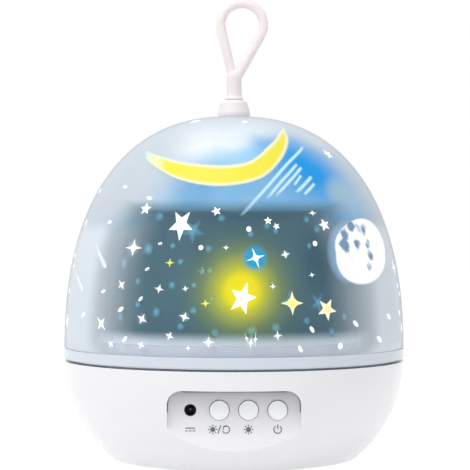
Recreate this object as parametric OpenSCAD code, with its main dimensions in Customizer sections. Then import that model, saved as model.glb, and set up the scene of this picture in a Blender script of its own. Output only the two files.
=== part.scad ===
// Star night light projector: an egg-shaped lamp with a lit lens inside a turning star film,
// all under a clear dome.
// Millimetres, +Z up, the origin on the table under the middle of the base. The control panel faces -Y.

/* [Body form] */
// Diameter at the widest place, where the base meets the dome
body_d = 120; // [117:1:124]
// Height of the widest place above the table
widest_h = 36; // [36:0.5:38]
// Height of the base's top edge above the table
seam_h = 35; // [34.8:0.1:35.4]
// Height of the dome's top above the table
dome_top_h = 121; // [120:1:128]
// Fullness of the egg shape: 2 is an ellipse, more is squarer
dome_fullness = 2.4; // [2.3:0.1:2.6]
// Radius of the base's curved side, seen in section
side_r = 45; // [44:0.5:48]
// Rounding of the base's bottom edge
foot_edge_r = 2.2; // [1.4:0.2:2.6]

/* [Walls and gaps] */
// Wall of the base shell and its floor
base_wall = 2.2; // [1.8:0.1:2.6]
// Wall of the clear dome
dome_wall = 1.8; // [1.4:0.1:2.2]
// Open gap between the base and the turning rim
seam_gap = 0.7; // [0.5:0.1:1]
// Clearance of pieces that plug together by hand
plug_gap = 0.2; // [0.1:0.05:0.3]
// Radial clearance of turning and sliding shafts
run_gap = 0.05; // [0.03:0.01:0.08]
// Clearance between pieces that only lie against each other
seat_gap = 0.05; // [0.02:0.01:0.1]

/* [Control panel] */
// Distance of the flat panel behind the widest place
panel_in = 9.4; // [9:0.1:9.8]
// Width of the recess
recess_w = 43.6; // [43.2:0.2:45]
// Height of the recess's top edge above the table
recess_top_h = 28.7; // [28:0.1:28.8]
// Corner radius of the recess
recess_corner_r = 5; // [3:0.5:6]
// Height of the row of buttons above the table
row_h = 21.9; // [21.5:0.1:22.5]
// Distance from one button to the next
row_pitch = 9.5; // [9.3:0.1:9.7]
// Diameter of a button
button_d = 6.3; // [6:0.1:6.6]
// How far a button stands out of the panel
button_out = 1.3; // [1:0.1:1.6]
// How far a button can be pressed
button_travel = 0.7; // [0.4:0.1:0.8]
// Gap around a button
button_gap = 0.22; // [0.15:0.01:0.3]
// Diameter of the hole for the power plug
plug_hole_d = 4; // [3.8:0.1:4.4]

/* [Turntable and gears] */
// Thickness of the turntable's plate
table_t = 2; // [1.6:0.1:2.4]
// Height of the rim that shows between base and dome
rim_h = 3.8; // [3.4:0.1:4.4]
// Radial width of that rim
rim_w = 3.9; // [3.7:0.1:4.3]
// Height of the lip that the dome is pushed over
lip_h = 3.5; // [3:0.1:4]
// Number of keys that make the dome turn with the table
key_count = 3; // [2:1:4]
// Width of each key
key_w = 7.4; // [6:0.1:9]
// Gear module, the size of the teeth
gear_module = 1; // [0.95:0.01:1.03]
// Teeth of the turntable's gear
gear_teeth = 48; // [46:2:50]
// Teeth of the motor's pinion
pinion_teeth = 12; // [12:2:14]
// Pressure angle of the teeth in degrees
pressure_angle = 25; // [24:0.5:26]
// Play between the teeth, measured along the pitch circle
backlash = 0.2; // [0.16:0.02:0.3]
// Thickness of the turntable's gear
gear_t = 3.3; // [3:0.1:3.5]
// Outer radius of the fixed collar that the turntable turns on
collar_r = 9; // [8.8:0.1:9.4]
// Wall of the turntable's hub
hub_wall = 3; // [2.4:0.1:3.4]

/* [Lamp and film] */
// Outer diameter of the hollow lamp post
post_d = 15; // [14.6:0.1:15.2]
// Wall of the lamp post
post_wall = 1.4; // [1.1:0.1:1.6]
// Height of the lamp post's top above the table
post_top_h = 55; // [52:1:60]
// Height of the film band's lower edge above the turntable plate
film_lift = 1.5; // [1.2:0.1:1.8]
// Distance of the film band's lower edge behind the widest place
film_inset = 11.8; // [11.4:0.1:13]
// Clearance between the film band's upper edge and the inside of the dome
film_dome_gap = 6; // [5.2:0.1:7]
// Height from the film band's upper edge up to the dome's top
film_top_drop = 32.4; // [31:0.2:37]
// Thickness of the film sheets
film_t = 0.6; // [0.4:0.1:0.8]
// Height from the top of the domed film cap up to the dome's top
film_cap_drop = 8.6; // [8.4:0.2:11]

/* [Battery bay] */
// Length of a cell with its nub
cell_l = 44.5; // [44:0.1:44.7]
// Diameter of a cell
cell_d = 10.5; // [10:0.1:10.6]
// Distance from one cell to the next
cell_pitch = 10.9; // [10.7:0.1:11]
// Number of cells
cell_count = 4; // [3:1:4]
// Length of a battery spring, pressed together by its cell
spring_l = 5.2; // [4.6:0.1:5.6]
// Wall of the battery bay
bay_wall = 1.6; // [1.3:0.1:1.8]
// Thickness of the battery door
door_t = 1.5; // [1.2:0.1:1.7]

/* [Hanging loop] */
// Thickness of the soft strand
strand_d = 3.4; // [3:0.1:3.8]
// Thickness of the neck where both strands join
neck_d = 5.4; // [5:0.1:5.8]
// Height of the fork above the dome's top
fork_rise = 12; // [11:0.5:14]
// Distance from the fork to the middle of the round top
eye_l = 20.8; // [18:0.2:24]
// Radius of the round top, to the middle of the strand
eye_r = 7.6; // [6.6:0.1:8.4]
// Lean of the loop to its right, in degrees
loop_lean = 8; // [0:1:12]
// Diameter of the boss that the loop stands in
boss_d = 11.4; // [11:0.1:12.6]
// Height of that boss
boss_h = 5.7; // [5:0.1:7]

/* [Fasteners] */
// Radius of the deck screws' shanks
deck_screw_r = 1.5; // [1.3:0.1:1.6]
// Radius of the small screws' shanks
small_screw_r = 1.1; // [0.9:0.1:1.2]
// Distance that the rubber feet hold the base above the table
foot_h = 0.8; // [0.6:0.1:1.2]
// Diameter of a rubber foot
foot_d = 8; // [7:0.5:9]
// Gap between a foot and the battery door's screw tabs
foot_gap = 2.3; // [1.8:0.1:2.6]

/* [Hidden] */
$fn = 96;

WHITE = [0.95, 0.95, 0.95];
PALE_BLUE = [0.86, 0.89, 0.95];
STEEL = [0.75, 0.76, 0.78];
BRASS = [0.80, 0.66, 0.35];
BOARD_GREEN = [0.10, 0.42, 0.24];
SILICONE = [0.95, 0.91, 0.92];
RUBBER = [0.25, 0.25, 0.26];
NIGHT_BLUE = [0.20, 0.33, 0.42];
SKY_BLUE = [0.62, 0.78, 0.95];

far = 200;      // longer than the whole lamp, for cuts that go right through
over = 1;       // how far a cut runs past the face that it opens

body_r = body_d / 2;
side_cx = body_r - side_r;              // centre of the side's arc, from the axis
floor_top = foot_h + base_wall;

// Heights of the drive, from the table up
table_z = seam_h + seam_gap;            // underside of the turntable's plate
plate_top = table_z + table_t;
shoulder_z = table_z + rim_h;           // where the dome's edge stands
drive_space = 4.5;                      // between the deck and the turntable
deck_t = 2.2;
deck_top = table_z - drive_space;
deck_low = deck_top - deck_t;
washer_t = 0.5;
hub_low = deck_top + washer_t + seat_gap;
hub_rise = 2;                           // hub above the plate
hub_top = plate_top + hub_rise;
clip_t = 0.8;
clip_z = hub_top + plug_gap;
collar_top = clip_z + clip_t + 1;
gear_low = table_z - gear_t;

// The panel and what lies behind it
panel_y = body_r - panel_in;
panel_back = panel_y - base_wall;
button_r = button_d / 2;
button_xs = [for (i = [0 : 2]) row_pitch * (i - 0.5)];
jack_x = -1.5 * row_pitch;
flange_t = 0.8;
flange_extra = 1;                       // flange beyond the button's own radius
stem_l = 1.1;
plunger_l = 2.5;
plunger_r = 1.75;
plunger_in = 1;                         // how deep the resting plunger stands in its switch
switch_w = 6;
switch_t = 3.5;
stem_back = panel_back - seat_gap - flange_t - stem_l;
plunger_front = stem_back - seat_gap;
switch_front = plunger_front - plunger_l + plunger_in;
board_front = switch_front - switch_t;
board_t = 1.6;
board_boss_r = 2.2;
board_hole_x = button_xs[2] + button_r + flange_extra + board_boss_r + 0.6;
board_w = 2 * (board_hole_x + board_boss_r + 0.4);
board_h = 2 * (deck_low - 0.4 - row_h);

// Screw pillars, from the axis
pillar_x = 18.5;
pillar_r = 4.4;
pillar_gap = 3.4;                       // between the front pillars and the control board
pillar_y = board_front - board_t - pillar_gap - pillar_r;
well_r = 3.2;
shelf_low = 17;
shelf_t = 3;
pillar_top = shelf_low + shelf_t;
deck_screw_head_r = 2.8;
deck_screw_head_t = 2;
deck_post_r = 3.6;
deck_post_low = pillar_top + seat_gap;

// Battery bay
plate_t = 0.4;
nub_l = 0.8;
bay_l = cell_l + spring_l + 2 * plate_t;         // inside, along X
bay_w = cell_pitch * (cell_count - 1) + cell_d + 0.6;
door_top = foot_h + door_t;
cell_z = door_top + 1.2 + cell_d / 2;
bay_roof = cell_z + cell_d / 2 + 0.8;            // underside of the bay's roof
bay_roof_t = 1.4;
web_top = cell_z;                                // upper edge of the webs beside the bay
door_l = bay_l + 2 * bay_wall;
door_w = bay_w + 2 * bay_wall;
tab_r = 4.2;
tab_y = door_w / 2 + 2;                          // centre of the door's screw tabs
tab_boss_r = 3;
tab_boss_top = 11;
cell_ys = [for (i = [0 : cell_count - 1]) cell_pitch * (i - (cell_count - 1) / 2)];
function cell_turn(i) = i % 2 == 0 ? 1 : -1;

// Motor and its place
gear_pitch_r = gear_module * gear_teeth / 2;
pinion_pitch_r = gear_module * pinion_teeth / 2;
motor_x = gear_pitch_r + pinion_pitch_r;
motor_r = 10;
motor_h = 10.8;
motor_low = deck_low - motor_h;
motor_nose_r = 3.6;
motor_shaft_r = 1.5;
shaft_in = 5;
ear_y = 13.5;
ear_r = 3;
ear_t = 1.2;
ear_boss_h = 2;

// Lamp
post_r = post_d / 2;
collar_bore = post_r + 0.1;
post_flange_r = 10;
post_flange_t = 2.4;
led_board_t = 1;
led_board_r = post_r - 0.1;
led_r = 1.5;
led_h = 5.3;
led_ring_r = 3;
lens_wall = 1.2;
lens_skirt = 5;                          // how far the lens reaches down over the post
lens_inner = led_board_r - 0.6;

// Film cartridge, inside the dome
dome_inner_r = body_r - dome_wall;
dome_inner_b = dome_top_h - widest_h - dome_wall;
film_low = plate_top + film_lift;
film_top_h = dome_top_h - film_top_drop;
film_cap_h = dome_top_h - film_cap_drop;
film_low_r = body_r - film_inset;
film_high_r = egg_radius(film_top_h, dome_inner_r, dome_inner_b) - film_dome_gap;
ring_w = 4;
base_ring_h = 4;
groove_gap = 0.1;
cap_low_r = film_high_r - 1.2;
cap_low = film_top_h + 0.8;
top_ring_h = 3.2;
top_ring_low = film_top_h - 1.6;
clip_count = 3;
film_clip_w = 8;

// Dome
keyring_r = dome_inner_r - plug_gap;    // outside of the lip inside the dome
lip_w = 1.9;
dome_low = shoulder_z + seat_gap;
boss_r = boss_d / 2;
spigot_r = 4;
spigot_l = 4;
hole_r = spigot_r + 0.1;
neck_r = neck_d / 2;
nut_r = 7;
nut_t = 1.8;
head_r = neck_r + 1;
head_t = 2.2;
collar_out = 0.7;                       // bead on the neck that keeps the loop from dropping in
fork_z = dome_top_h + fork_rise;
strand_r = strand_d / 2;

// Widths of ribs and small webs
rib_t = 1.2;

// ---------- functions ----------

// Points of an egg's outline between two parameter angles: half width a, height b above z0
function egg_arc(a, b, z0, from, to, steps) =
    [for (i = [0 : steps])
        let (t = from + (to - from) * i / steps)
        [a * pow(cos(t), 2 / dome_fullness), z0 + b * pow(sin(t), 2 / dome_fullness)]];
// The egg's radius at a height above the table
function egg_radius(z, a, b) = a * pow(1 - pow((z - widest_h) / b, dome_fullness), 1 / dome_fullness);
function egg_angle_at_height(h, b) = asin(pow(h / b, dome_fullness / 2));
function egg_angle_at_radius(r, a) = acos(pow(r / a, dome_fullness / 2));

// The involute function in degrees, for an angle in degrees
function involute(angle) = tan(angle) * 180 / PI - angle;
// Half the angle that a tooth covers at radius r
function tooth_half_angle(r, pitch_r, teeth) =
    90 / teeth - backlash / pitch_r * 45 / PI
    + involute(pressure_angle) - involute(acos(min(1, pitch_r * cos(pressure_angle) / r)));
function polar(r, angle) = [r * cos(angle), r * sin(angle)];
// The outline of one tooth, from its left root over its tip to its right root
function tooth_points(teeth, centre_angle) =
    let (pitch_r = gear_module * teeth / 2,
         base_r = pitch_r * cos(pressure_angle),
         tip_r = pitch_r + gear_module,
         root_r = pitch_r - 1.25 * gear_module,
         low_r = max(base_r, root_r),
         steps = 4,
         radii = [for (i = [0 : steps]) low_r + (tip_r - low_r) * i / steps],
         root_half = tooth_half_angle(low_r, pitch_r, teeth))
    concat(
        root_r < low_r ? [polar(root_r, centre_angle - root_half)] : [],
        [for (r = radii) polar(r, centre_angle - tooth_half_angle(r, pitch_r, teeth))],
        [for (i = [steps : -1 : 0])
            polar(radii[i], centre_angle + tooth_half_angle(radii[i], pitch_r, teeth))],
        root_r < low_r ? [polar(root_r, centre_angle + root_half)] : []
    );
function gear_points(teeth, first_angle) =
    [for (i = [0 : teeth - 1], p = tooth_points(teeth, first_angle + 360 * i / teeth)) p];

// A tube swept along points, as one closed polyhedron
function unit(v) = v / norm(v);
function tangents(path) =
    [for (i = [0 : len(path) - 1])
        unit(path[min(i + 1, len(path) - 1)] - path[max(i - 1, 0)])];
function ring_points(centre, t, r, sides, up) =
    let (u = unit(cross(up, t)), v = cross(t, u))
    [for (k = [0 : sides - 1]) centre + r * (cos(360 * k / sides) * u + sin(360 * k / sides) * v)];

module tube(path, r, sides, up) {
    rings = len(path);
    dirs = tangents(path);
    points = [for (i = [0 : rings - 1], p = ring_points(path[i], dirs[i], r, sides, up)) p];
    skin = [for (i = [0 : rings - 2], k = [0 : sides - 1])
        let (n = (k + 1) % sides)
        each [[i * sides + k, (i + 1) * sides + n, i * sides + n],
              [i * sides + k, (i + 1) * sides + k, (i + 1) * sides + n]]];
    low_end = [for (k = [1 : sides - 2]) [0, k, k + 1]];
    last = (rings - 1) * sides;
    high_end = [for (k = [1 : sides - 2]) [last, last + k + 1, last + k]];
    polyhedron(points, concat(skin, low_end, high_end));
}

// ---------- shared shapes ----------

module ring(outer, inner, low, high) {
    translate([0, 0, low]) difference() {
        cylinder(r = outer, h = high - low);
        translate([0, 0, -over]) cylinder(r = inner, h = high - low + 2 * over);
    }
}

module at_corners(x, y) {
    for (sx = [-1, 1], sy = [-1, 1]) translate([sx * x, sy * y, 0]) children();
}

module box_between(low, high) {
    translate(low) cube(high - low);
}

// A pan-head screw whose head's underside is at z = 0 and whose shank points up
module screw(head_r, head_t, shank_r, shank_l) {
    difference() {
        union() {
            translate([0, 0, -head_t]) cylinder(r1 = head_r * 0.8, r2 = head_r, h = head_t / 2);
            translate([0, 0, -head_t / 2]) cylinder(r = head_r, h = head_t / 2);
            cylinder(r = shank_r, h = shank_l - shank_r);
            translate([0, 0, shank_l - shank_r]) cylinder(r1 = shank_r, r2 = shank_r * 0.3, h = shank_r);
        }
        for (a = [0, 90]) rotate(a) translate([-head_r * 0.55, -head_r * 0.12, -head_t - over])
            cube([head_r * 1.1, head_r * 0.24, over + head_t * 0.45]);
    }
}

// A plate with round top corners, in the XY plane, standing on y = low
module round_top_plate(width, low, high, r) {
    translate([-width / 2, low]) square([width, high - r - low]);
    translate([-width / 2 + r, low]) square([width - 2 * r, high - low]);
    for (s = [-1, 1]) translate([s * (width / 2 - r), high - r]) circle(r = r);
}

// Turns a drawing of X and Z so that it is extruded along Y between two distances in front of the axis
module facing_front(near, away) {
    translate([0, -near, 0]) rotate([90, 0, 0]) linear_extrude(away - near) children();
}

// ---------- base ----------

module bowl_section(inset, low, high) {
    intersection() {
        translate([side_cx, widest_h]) circle(r = side_r - inset);
        translate([0, low]) square([body_r, high - low]);
    }
}

// The base's outer section with its bottom edge rounded
module bowl_outer_section() {
    edge_z = foot_h + foot_edge_r;
    reach = side_r - foot_edge_r;
    drop = widest_h - edge_z;
    edge_x = side_cx + sqrt(reach * reach - drop * drop);
    lean = atan2(drop, edge_x - side_cx);
    tangent_point = [side_cx + side_r * cos(lean), widest_h - side_r * sin(lean)];
    difference() {
        bowl_section(0, foot_h, seam_h);
        polygon([[edge_x, edge_z], tangent_point, tangent_point + [foot_edge_r, 0],
                 [tangent_point[0] + foot_edge_r, foot_h - over], [edge_x, foot_h - over]]);
    }
    translate([edge_x, edge_z]) circle(r = foot_edge_r);
}

module bowl() {
    rotate_extrude() bowl_outer_section();
}

module bowl_inside() {
    rotate_extrude() bowl_section(base_wall, floor_top, widest_h);
}

// The block that carries the panel's walls inside the bowl
module panel_block() {
    intersection() {
        bowl();
        facing_front(panel_back, body_r + over)
            round_top_plate(recess_w + 2 * base_wall, foot_h,
                            recess_top_h + base_wall, recess_corner_r + base_wall);
    }
}

module battery_bay_walls() {
    box_between([-door_l / 2, -door_w / 2, door_top + seat_gap],
                [door_l / 2, door_w / 2, bay_roof + bay_roof_t]);
}

module battery_bay_inside() {
    box_between([-bay_l / 2, -bay_w / 2, 0], [bay_l / 2, bay_w / 2, bay_roof]);
}

module door_outline(gap) {
    square([door_l + 2 * gap, door_w + 2 * gap], center = true);
    for (s = [-1, 1]) translate([0, s * tab_y]) circle(r = tab_r + gap);
}

// The ring on which the deck's edge lies
module deck_ledge() {
    intersection() {
        rotate_extrude() polygon([[body_r - base_wall - 2.2, deck_low - seat_gap],
                                  [body_r - base_wall + 0.6, deck_low - seat_gap],
                                  [body_r - base_wall + 0.6, deck_low - 3.4]]);
        bowl();
    }
}

module base_shell() {
    color(WHITE) difference() {
        union() {
            difference() {
                bowl();
                bowl_inside();
            }
            panel_block();
            difference() {
                deck_ledge();
                facing_front(panel_back - over, body_r + over)
                    translate([-recess_w / 2, foot_h]) square([recess_w, recess_top_h]);
            }
            battery_bay_walls();
            at_corners(pillar_x, pillar_y) translate([0, 0, foot_h])
                cylinder(r = pillar_r, h = pillar_top - foot_h);
            for (s = [-1, 1]) translate([0, s * tab_y, door_top + seat_gap])
                cylinder(r = tab_boss_r, h = tab_boss_top - door_top);
            for (s = [-1, 1]) translate([s * board_hole_x, -panel_back - seat_gap, row_h])
                rotate([-90, 0, 0]) cylinder(r = board_boss_r, h = panel_back - board_front);
            bay_ribs();
        }
        facing_front(panel_y, body_r + over)
            round_top_plate(recess_w, foot_h - over, recess_top_h, recess_corner_r);
        for (x = button_xs) translate([x, -panel_back + over, row_h]) rotate([90, 0, 0])
            cylinder(r = button_r + button_gap, h = base_wall + 2 * over);
        translate([jack_x, -panel_back + over, row_h]) rotate([90, 0, 0])
            cylinder(d = plug_hole_d, h = base_wall + 2 * over);
        battery_bay_inside();
        translate([0, 0, foot_h - over]) linear_extrude(over + door_t + seat_gap) door_outline(plug_gap);
        at_corners(pillar_x, pillar_y) {
            translate([0, 0, foot_h - over]) cylinder(r = well_r, h = shelf_low - foot_h + over);
            cylinder(r = deck_screw_r + plug_gap, h = pillar_top + over);
        }
        for (s = [-1, 1]) translate([0, s * tab_y, 0])
            cylinder(r = small_screw_r + run_gap, h = tab_boss_top - over);
        for (s = [-1, 1]) translate([s * board_hole_x, -panel_back, row_h]) rotate([-90, 0, 0])
            cylinder(r = small_screw_r + run_gap, h = panel_back - board_front + over);
        foot_places() translate([0, 0, foot_h - over]) cylinder(d = foot_d + plug_gap, h = over + 0.6);
    }
}

// Webs from the bay to the bowl's side
module bay_ribs() {
    intersection() {
        for (s = [-1, 1], y = [-door_w / 4, 0, door_w / 4])
            box_between([s > 0 ? door_l / 2 - 1 : -body_r, y - rib_t / 2, foot_h],
                        [s > 0 ? body_r : -door_l / 2 + 1, y + rib_t / 2, web_top]);
        bowl();
    }
}

module foot_places() {
    ring_r = tab_y + tab_r + foot_gap + foot_d / 2;
    for (a = [0 : 90 : 270]) rotate(a) translate([ring_r, 0, 0]) children();
}

module rubber_feet() {
    color(RUBBER) foot_places() {
        cylinder(d = foot_d - 0.8, h = 0.4);
        translate([0, 0, 0.4]) cylinder(d = foot_d, h = foot_h + 0.6 - 0.4);
    }
}

module battery_cells() {
    can_l = cell_l - nub_l;
    color([0.32, 0.34, 0.38]) for (i = [0 : cell_count - 1])
        translate([0, cell_ys[i], cell_z]) rotate([0, 90 * cell_turn(i), 0])
            translate([0, 0, bay_l / 2 - plate_t - cell_l]) {
                cylinder(d = cell_d, h = can_l);
                translate([0, 0, can_l]) cylinder(d = 3.6, h = nub_l - 0.02);
            }
}

module battery_springs() {
    turns = 4;
    rings = 8;
    wire_r = 0.35;
    color(STEEL) for (i = [0 : cell_count - 1])
        translate([0, cell_ys[i], cell_z]) rotate([0, 90 * cell_turn(i), 0])
            translate([0, 0, -bay_l / 2 + plate_t + wire_r + 0.02])
                tube([for (k = [0 : turns * rings])
                         let (share = k / (turns * rings), a = 360 * k / rings, r = 3.8 - 1.9 * share)
                         [r * cos(a), r * sin(a), share * (spring_l - 2 * wire_r - 0.06)]],
                     wire_r, 6, [0, 0, 1]);
}

module battery_plates() {
    side = cell_d - 1.5;
    color(STEEL) for (i = [0 : cell_count - 1], s = [-1, 1])
        translate([s * (bay_l - plate_t) / 2, cell_ys[i], cell_z])
            cube([plate_t, side, side], center = true);
}

module battery_door() {
    rib_in = 1;         // from the bay's end to a rib
    rib_l = 8;
    grip = 9;           // half the length of the longest finger groove
    color(WHITE) difference() {
        union() {
            translate([0, 0, foot_h]) linear_extrude(door_t) door_outline(0);
            for (x = [-1, 1], y = [-1, 1]) box_between(
                [x > 0 ? bay_l / 2 - rib_in - rib_l : -bay_l / 2 + rib_in,
                 y * (bay_w / 2 - rib_t) - rib_t / 2, door_top - 0.1],
                [x > 0 ? bay_l / 2 - rib_in : -bay_l / 2 + rib_in + rib_l,
                 y * (bay_w / 2 - rib_t) + rib_t / 2, door_top + 1]);
        }
        for (s = [-1, 1]) translate([0, s * tab_y, 0]) {
            translate([0, 0, foot_h - over]) cylinder(r = small_screw_r + plug_gap, h = door_t + 2 * over);
            translate([0, 0, foot_h - over]) cylinder(r = 2.4, h = over + door_t - 0.7);
        }
        for (i = [0 : 4]) translate([0, -6 + 3 * i, foot_h - over])
            box_between([-grip + abs(i - 2) * 2, -0.4, 0], [grip - abs(i - 2) * 2, 0.4, over + 0.4]);
    }
}

module battery_door_screws() {
    seat = foot_h + door_t - 0.7;
    color(STEEL) for (s = [-1, 1]) translate([0, s * tab_y, seat]) screw(2.2, 0.75, small_screw_r, 8);
}

// ---------- deck, motor and gears ----------

module top_deck() {
    deck_r = body_r - base_wall - 0.9;
    color(WHITE) difference() {
        union() {
            translate([0, 0, deck_low]) cylinder(r = deck_r, h = deck_t);
            at_corners(pillar_x, pillar_y) translate([0, 0, deck_post_low])
                cylinder(r = deck_post_r, h = deck_low - deck_post_low + 0.1);
            translate([0, 0, deck_top - 0.1]) cylinder(r = collar_r, h = collar_top - deck_top + 0.1);
            for (s = [-1, 1]) translate([motor_x, s * ear_y, deck_top - 0.1])
                cylinder(r = ear_r, h = ear_boss_h + 0.1);
            deck_ribs();
        }
        translate([0, 0, deck_low - over]) cylinder(r = collar_bore, h = collar_top - deck_low + 2 * over);
        clip_groove();
        at_corners(pillar_x, pillar_y) translate([0, 0, deck_post_low - over])
            cylinder(r = deck_screw_r + run_gap, h = deck_low - deck_post_low);
        translate([motor_x, 0, deck_low - over]) cylinder(r = motor_nose_r + plug_gap, h = deck_t + 2 * over);
        for (s = [-1, 1]) translate([motor_x, s * ear_y, deck_low - over])
            cylinder(r = small_screw_r + run_gap, h = deck_t + ear_boss_h + 2 * over);
        facing_front(panel_back - plug_gap - 0.2, body_r + over)
            translate([-recess_w / 2 - base_wall - 0.4, 0]) square([recess_w + 2 * base_wall + 0.8, far]);
    }
}

// Stiffening webs on the deck's underside
module deck_ribs() {
    bare_edge = 7.8;
    for (a = [45 : 90 : 315]) rotate(a)
        box_between([post_flange_r + 1, -rib_t / 2, deck_low - 2.5],
                    [body_r - base_wall - bare_edge, rib_t / 2, deck_low + 0.1]);
}

function hub_outer() = collar_r + run_gap + hub_wall;

module clip_groove() {
    ring(collar_r + over, collar_r - 0.5, clip_z - seat_gap, clip_z + clip_t + seat_gap);
}

module deck_screws() {
    color(STEEL) at_corners(pillar_x, pillar_y) translate([0, 0, shelf_low - seat_gap])
        screw(deck_screw_head_r, deck_screw_head_t, deck_screw_r, deck_low - shelf_low - 2);
}

module rotation_motor() {
    lug_y = 2.5;
    lug_z = 3;
    lug_t = 0.4;
    color(STEEL) difference() {
        union() {
            translate([motor_x, 0, motor_low]) cylinder(r = motor_r - 1, h = 1.2);
            translate([motor_x, 0, motor_low + 1]) cylinder(r = motor_r, h = motor_h - 1);
            translate([motor_x, 0, deck_low - 0.1]) cylinder(r = motor_nose_r, h = deck_t + 0.1);
            for (s = [-1, 1]) translate([motor_x, s * ear_y, deck_low - ear_t])
                cylinder(r = ear_r, h = ear_t);
            box_between([motor_x - ear_r, -ear_y, deck_low - ear_t], [motor_x + ear_r, ear_y, deck_low]);
            for (s = [-1, 1]) box_between(
                [motor_x + motor_r - 1, s * lug_y - 0.8, motor_low + lug_z],
                [motor_x + motor_r + 2.2, s * lug_y + 0.8, motor_low + lug_z + lug_t]);
        }
        translate([motor_x, 0, deck_low - shaft_in - seat_gap])
            cylinder(r = motor_shaft_r + run_gap, h = shaft_in + deck_t + over);
        for (s = [-1, 1]) translate([motor_x, s * ear_y, deck_low - ear_t - over])
            cylinder(r = small_screw_r + plug_gap, h = ear_t + 2 * over);
    }
}

module motor_screws() {
    color(STEEL) for (s = [-1, 1]) translate([motor_x, s * ear_y, deck_low - ear_t - seat_gap])
        screw(2.1, 1.3, small_screw_r, ear_t + deck_t + ear_boss_h - 0.4);
}

module motor_shaft() {
    color(STEEL) translate([motor_x, 0, deck_low - shaft_in])
        cylinder(r = motor_shaft_r, h = shaft_in + deck_t + gear_low - deck_top + gear_t - 0.4);
}

module drive_pinion() {
    color(WHITE) translate([motor_x, 0, gear_low]) difference() {
        rotate(180 / pinion_teeth) linear_extrude(gear_t - 0.4) polygon(gear_points(pinion_teeth, 0));
        translate([0, 0, -over]) cylinder(r = motor_shaft_r, h = gear_t + 2 * over);
    }
}

module thrust_washer() {
    color(BRASS) ring(hub_outer() - 0.3, collar_r + run_gap, deck_top, deck_top + washer_t);
}

// A split spring ring in the collar's groove
module retaining_clip() {
    color(STEEL) difference() {
        ring(collar_r + 1.6, collar_r - 0.4, clip_z, clip_z + clip_t);
        box_between([0, -1.5, clip_z - over], [far, 1.5, clip_z + clip_t + over]);
    }
}

module turntable() {
    skirt_r = body_r - base_wall - 0.8;
    color(PALE_BLUE) difference() {
        union() {
            translate([0, 0, table_z]) cylinder(r = body_r - 0.5, h = table_t);
            rotate_extrude() rim_section();
            ring(skirt_r, skirt_r - rib_t, table_z - 2.7, table_z + 0.1);
            table_ribs(skirt_r);
            film_clips();
        }
        translate([0, 0, table_z - over]) cylinder(r = hub_outer() + seat_gap, h = table_t + 2 * over);
        key_places() box_between([keyring_r - lip_w - over, -key_w / 2 - plug_gap, shoulder_z],
                                 [keyring_r + over, key_w / 2 + plug_gap, shoulder_z + lip_h + over]);
    }
}

// The turning rim: the band that shows, with a small bevel at its foot, and the lip for the dome
module rim_section() {
    bevel = 0.5;
    polygon([[body_r - rim_w, table_z], [body_r - bevel, table_z], [body_r, table_z + bevel],
             [body_r, shoulder_z], [keyring_r, shoulder_z], [keyring_r, shoulder_z + lip_h - 0.4],
             [keyring_r - 0.4, shoulder_z + lip_h], [keyring_r - lip_w, shoulder_z + lip_h],
             [keyring_r - lip_w, shoulder_z - 1], [body_r - rim_w, shoulder_z - 1]]);
}

module key_places() {
    for (i = [0 : key_count - 1]) rotate(90 + 360 * i / key_count) children();
}

module table_ribs(reach) {
    for (a = [22.5 : 45 : 337.5]) rotate(a)
        box_between([motor_x + pinion_pitch_r + gear_module + 1, -rib_t / 2, table_z - 1.5],
                    [reach - 0.5, rib_t / 2, table_z + 0.1]);
}

// Hooks that hold the film cartridge down
module film_clips() {
    outer = film_low_r + ring_w / 2 + plug_gap;
    clip_top = plate_top + base_ring_h + seat_gap;
    intersection() {
        union() {
            ring(outer + 1.4, outer, plate_top - 0.1, clip_top + 1);
            ring(outer + 1.4, outer - 0.9, clip_top, clip_top + 1);
        }
        for (i = [0 : clip_count - 1]) rotate(30 + 360 * i / clip_count)
            box_between([0, -film_clip_w / 2, 0], [far, film_clip_w / 2, far]);
    }
}

// The bearing sleeve in the middle of the turntable, with a flange that lies on the plate
module turntable_hub() {
    flange_w = 1.6;
    color(WHITE) difference() {
        union() {
            translate([0, 0, hub_low]) cylinder(r = hub_outer(), h = hub_top - hub_low);
            translate([0, 0, plate_top + seat_gap]) cylinder(r = hub_outer() + flange_w, h = hub_rise / 2);
        }
        translate([0, 0, hub_low - over]) cylinder(r = collar_r + run_gap, h = hub_top - hub_low + 2 * over);
    }
}

module drive_gear() {
    web_w = gear_pitch_r - hub_outer();
    color(WHITE) translate([0, 0, gear_low]) difference() {
        linear_extrude(gear_t) polygon(gear_points(gear_teeth, 0));
        translate([0, 0, -over]) cylinder(r = hub_outer(), h = gear_t + 2 * over);
        for (a = [0 : 60 : 300]) rotate(a) translate([hub_outer() + web_w * 0.465, 0, -over])
            cylinder(r = web_w * 0.22, h = gear_t + 2 * over);
    }
}

// ---------- lamp ----------

module lamp_post() {
    color(WHITE) difference() {
        union() {
            translate([0, 0, deck_low - post_flange_t]) {
                cylinder(r = post_r, h = post_top_h - deck_low + post_flange_t);
                cylinder(r = post_flange_r, h = post_flange_t - seat_gap);
            }
        }
        translate([0, 0, deck_low - post_flange_t - over])
            cylinder(r = post_r - post_wall, h = post_top_h - deck_low + post_flange_t + 2 * over);
    }
}

module led_places() {
    for (a = [45 : 90 : 315]) rotate(a) translate([led_ring_r, 0, post_top_h + led_board_t]) children();
}

module led_board() {
    color(WHITE) translate([0, 0, post_top_h]) cylinder(r = led_board_r, h = led_board_t);
}

module leds() {
    color([0.95, 0.92, 0.60]) led_places() {
        cylinder(r = led_r + 0.35, h = 1);
        cylinder(r = led_r, h = led_h - led_r);
        translate([0, 0, led_h - led_r]) sphere(r = led_r);
    }
}

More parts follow.
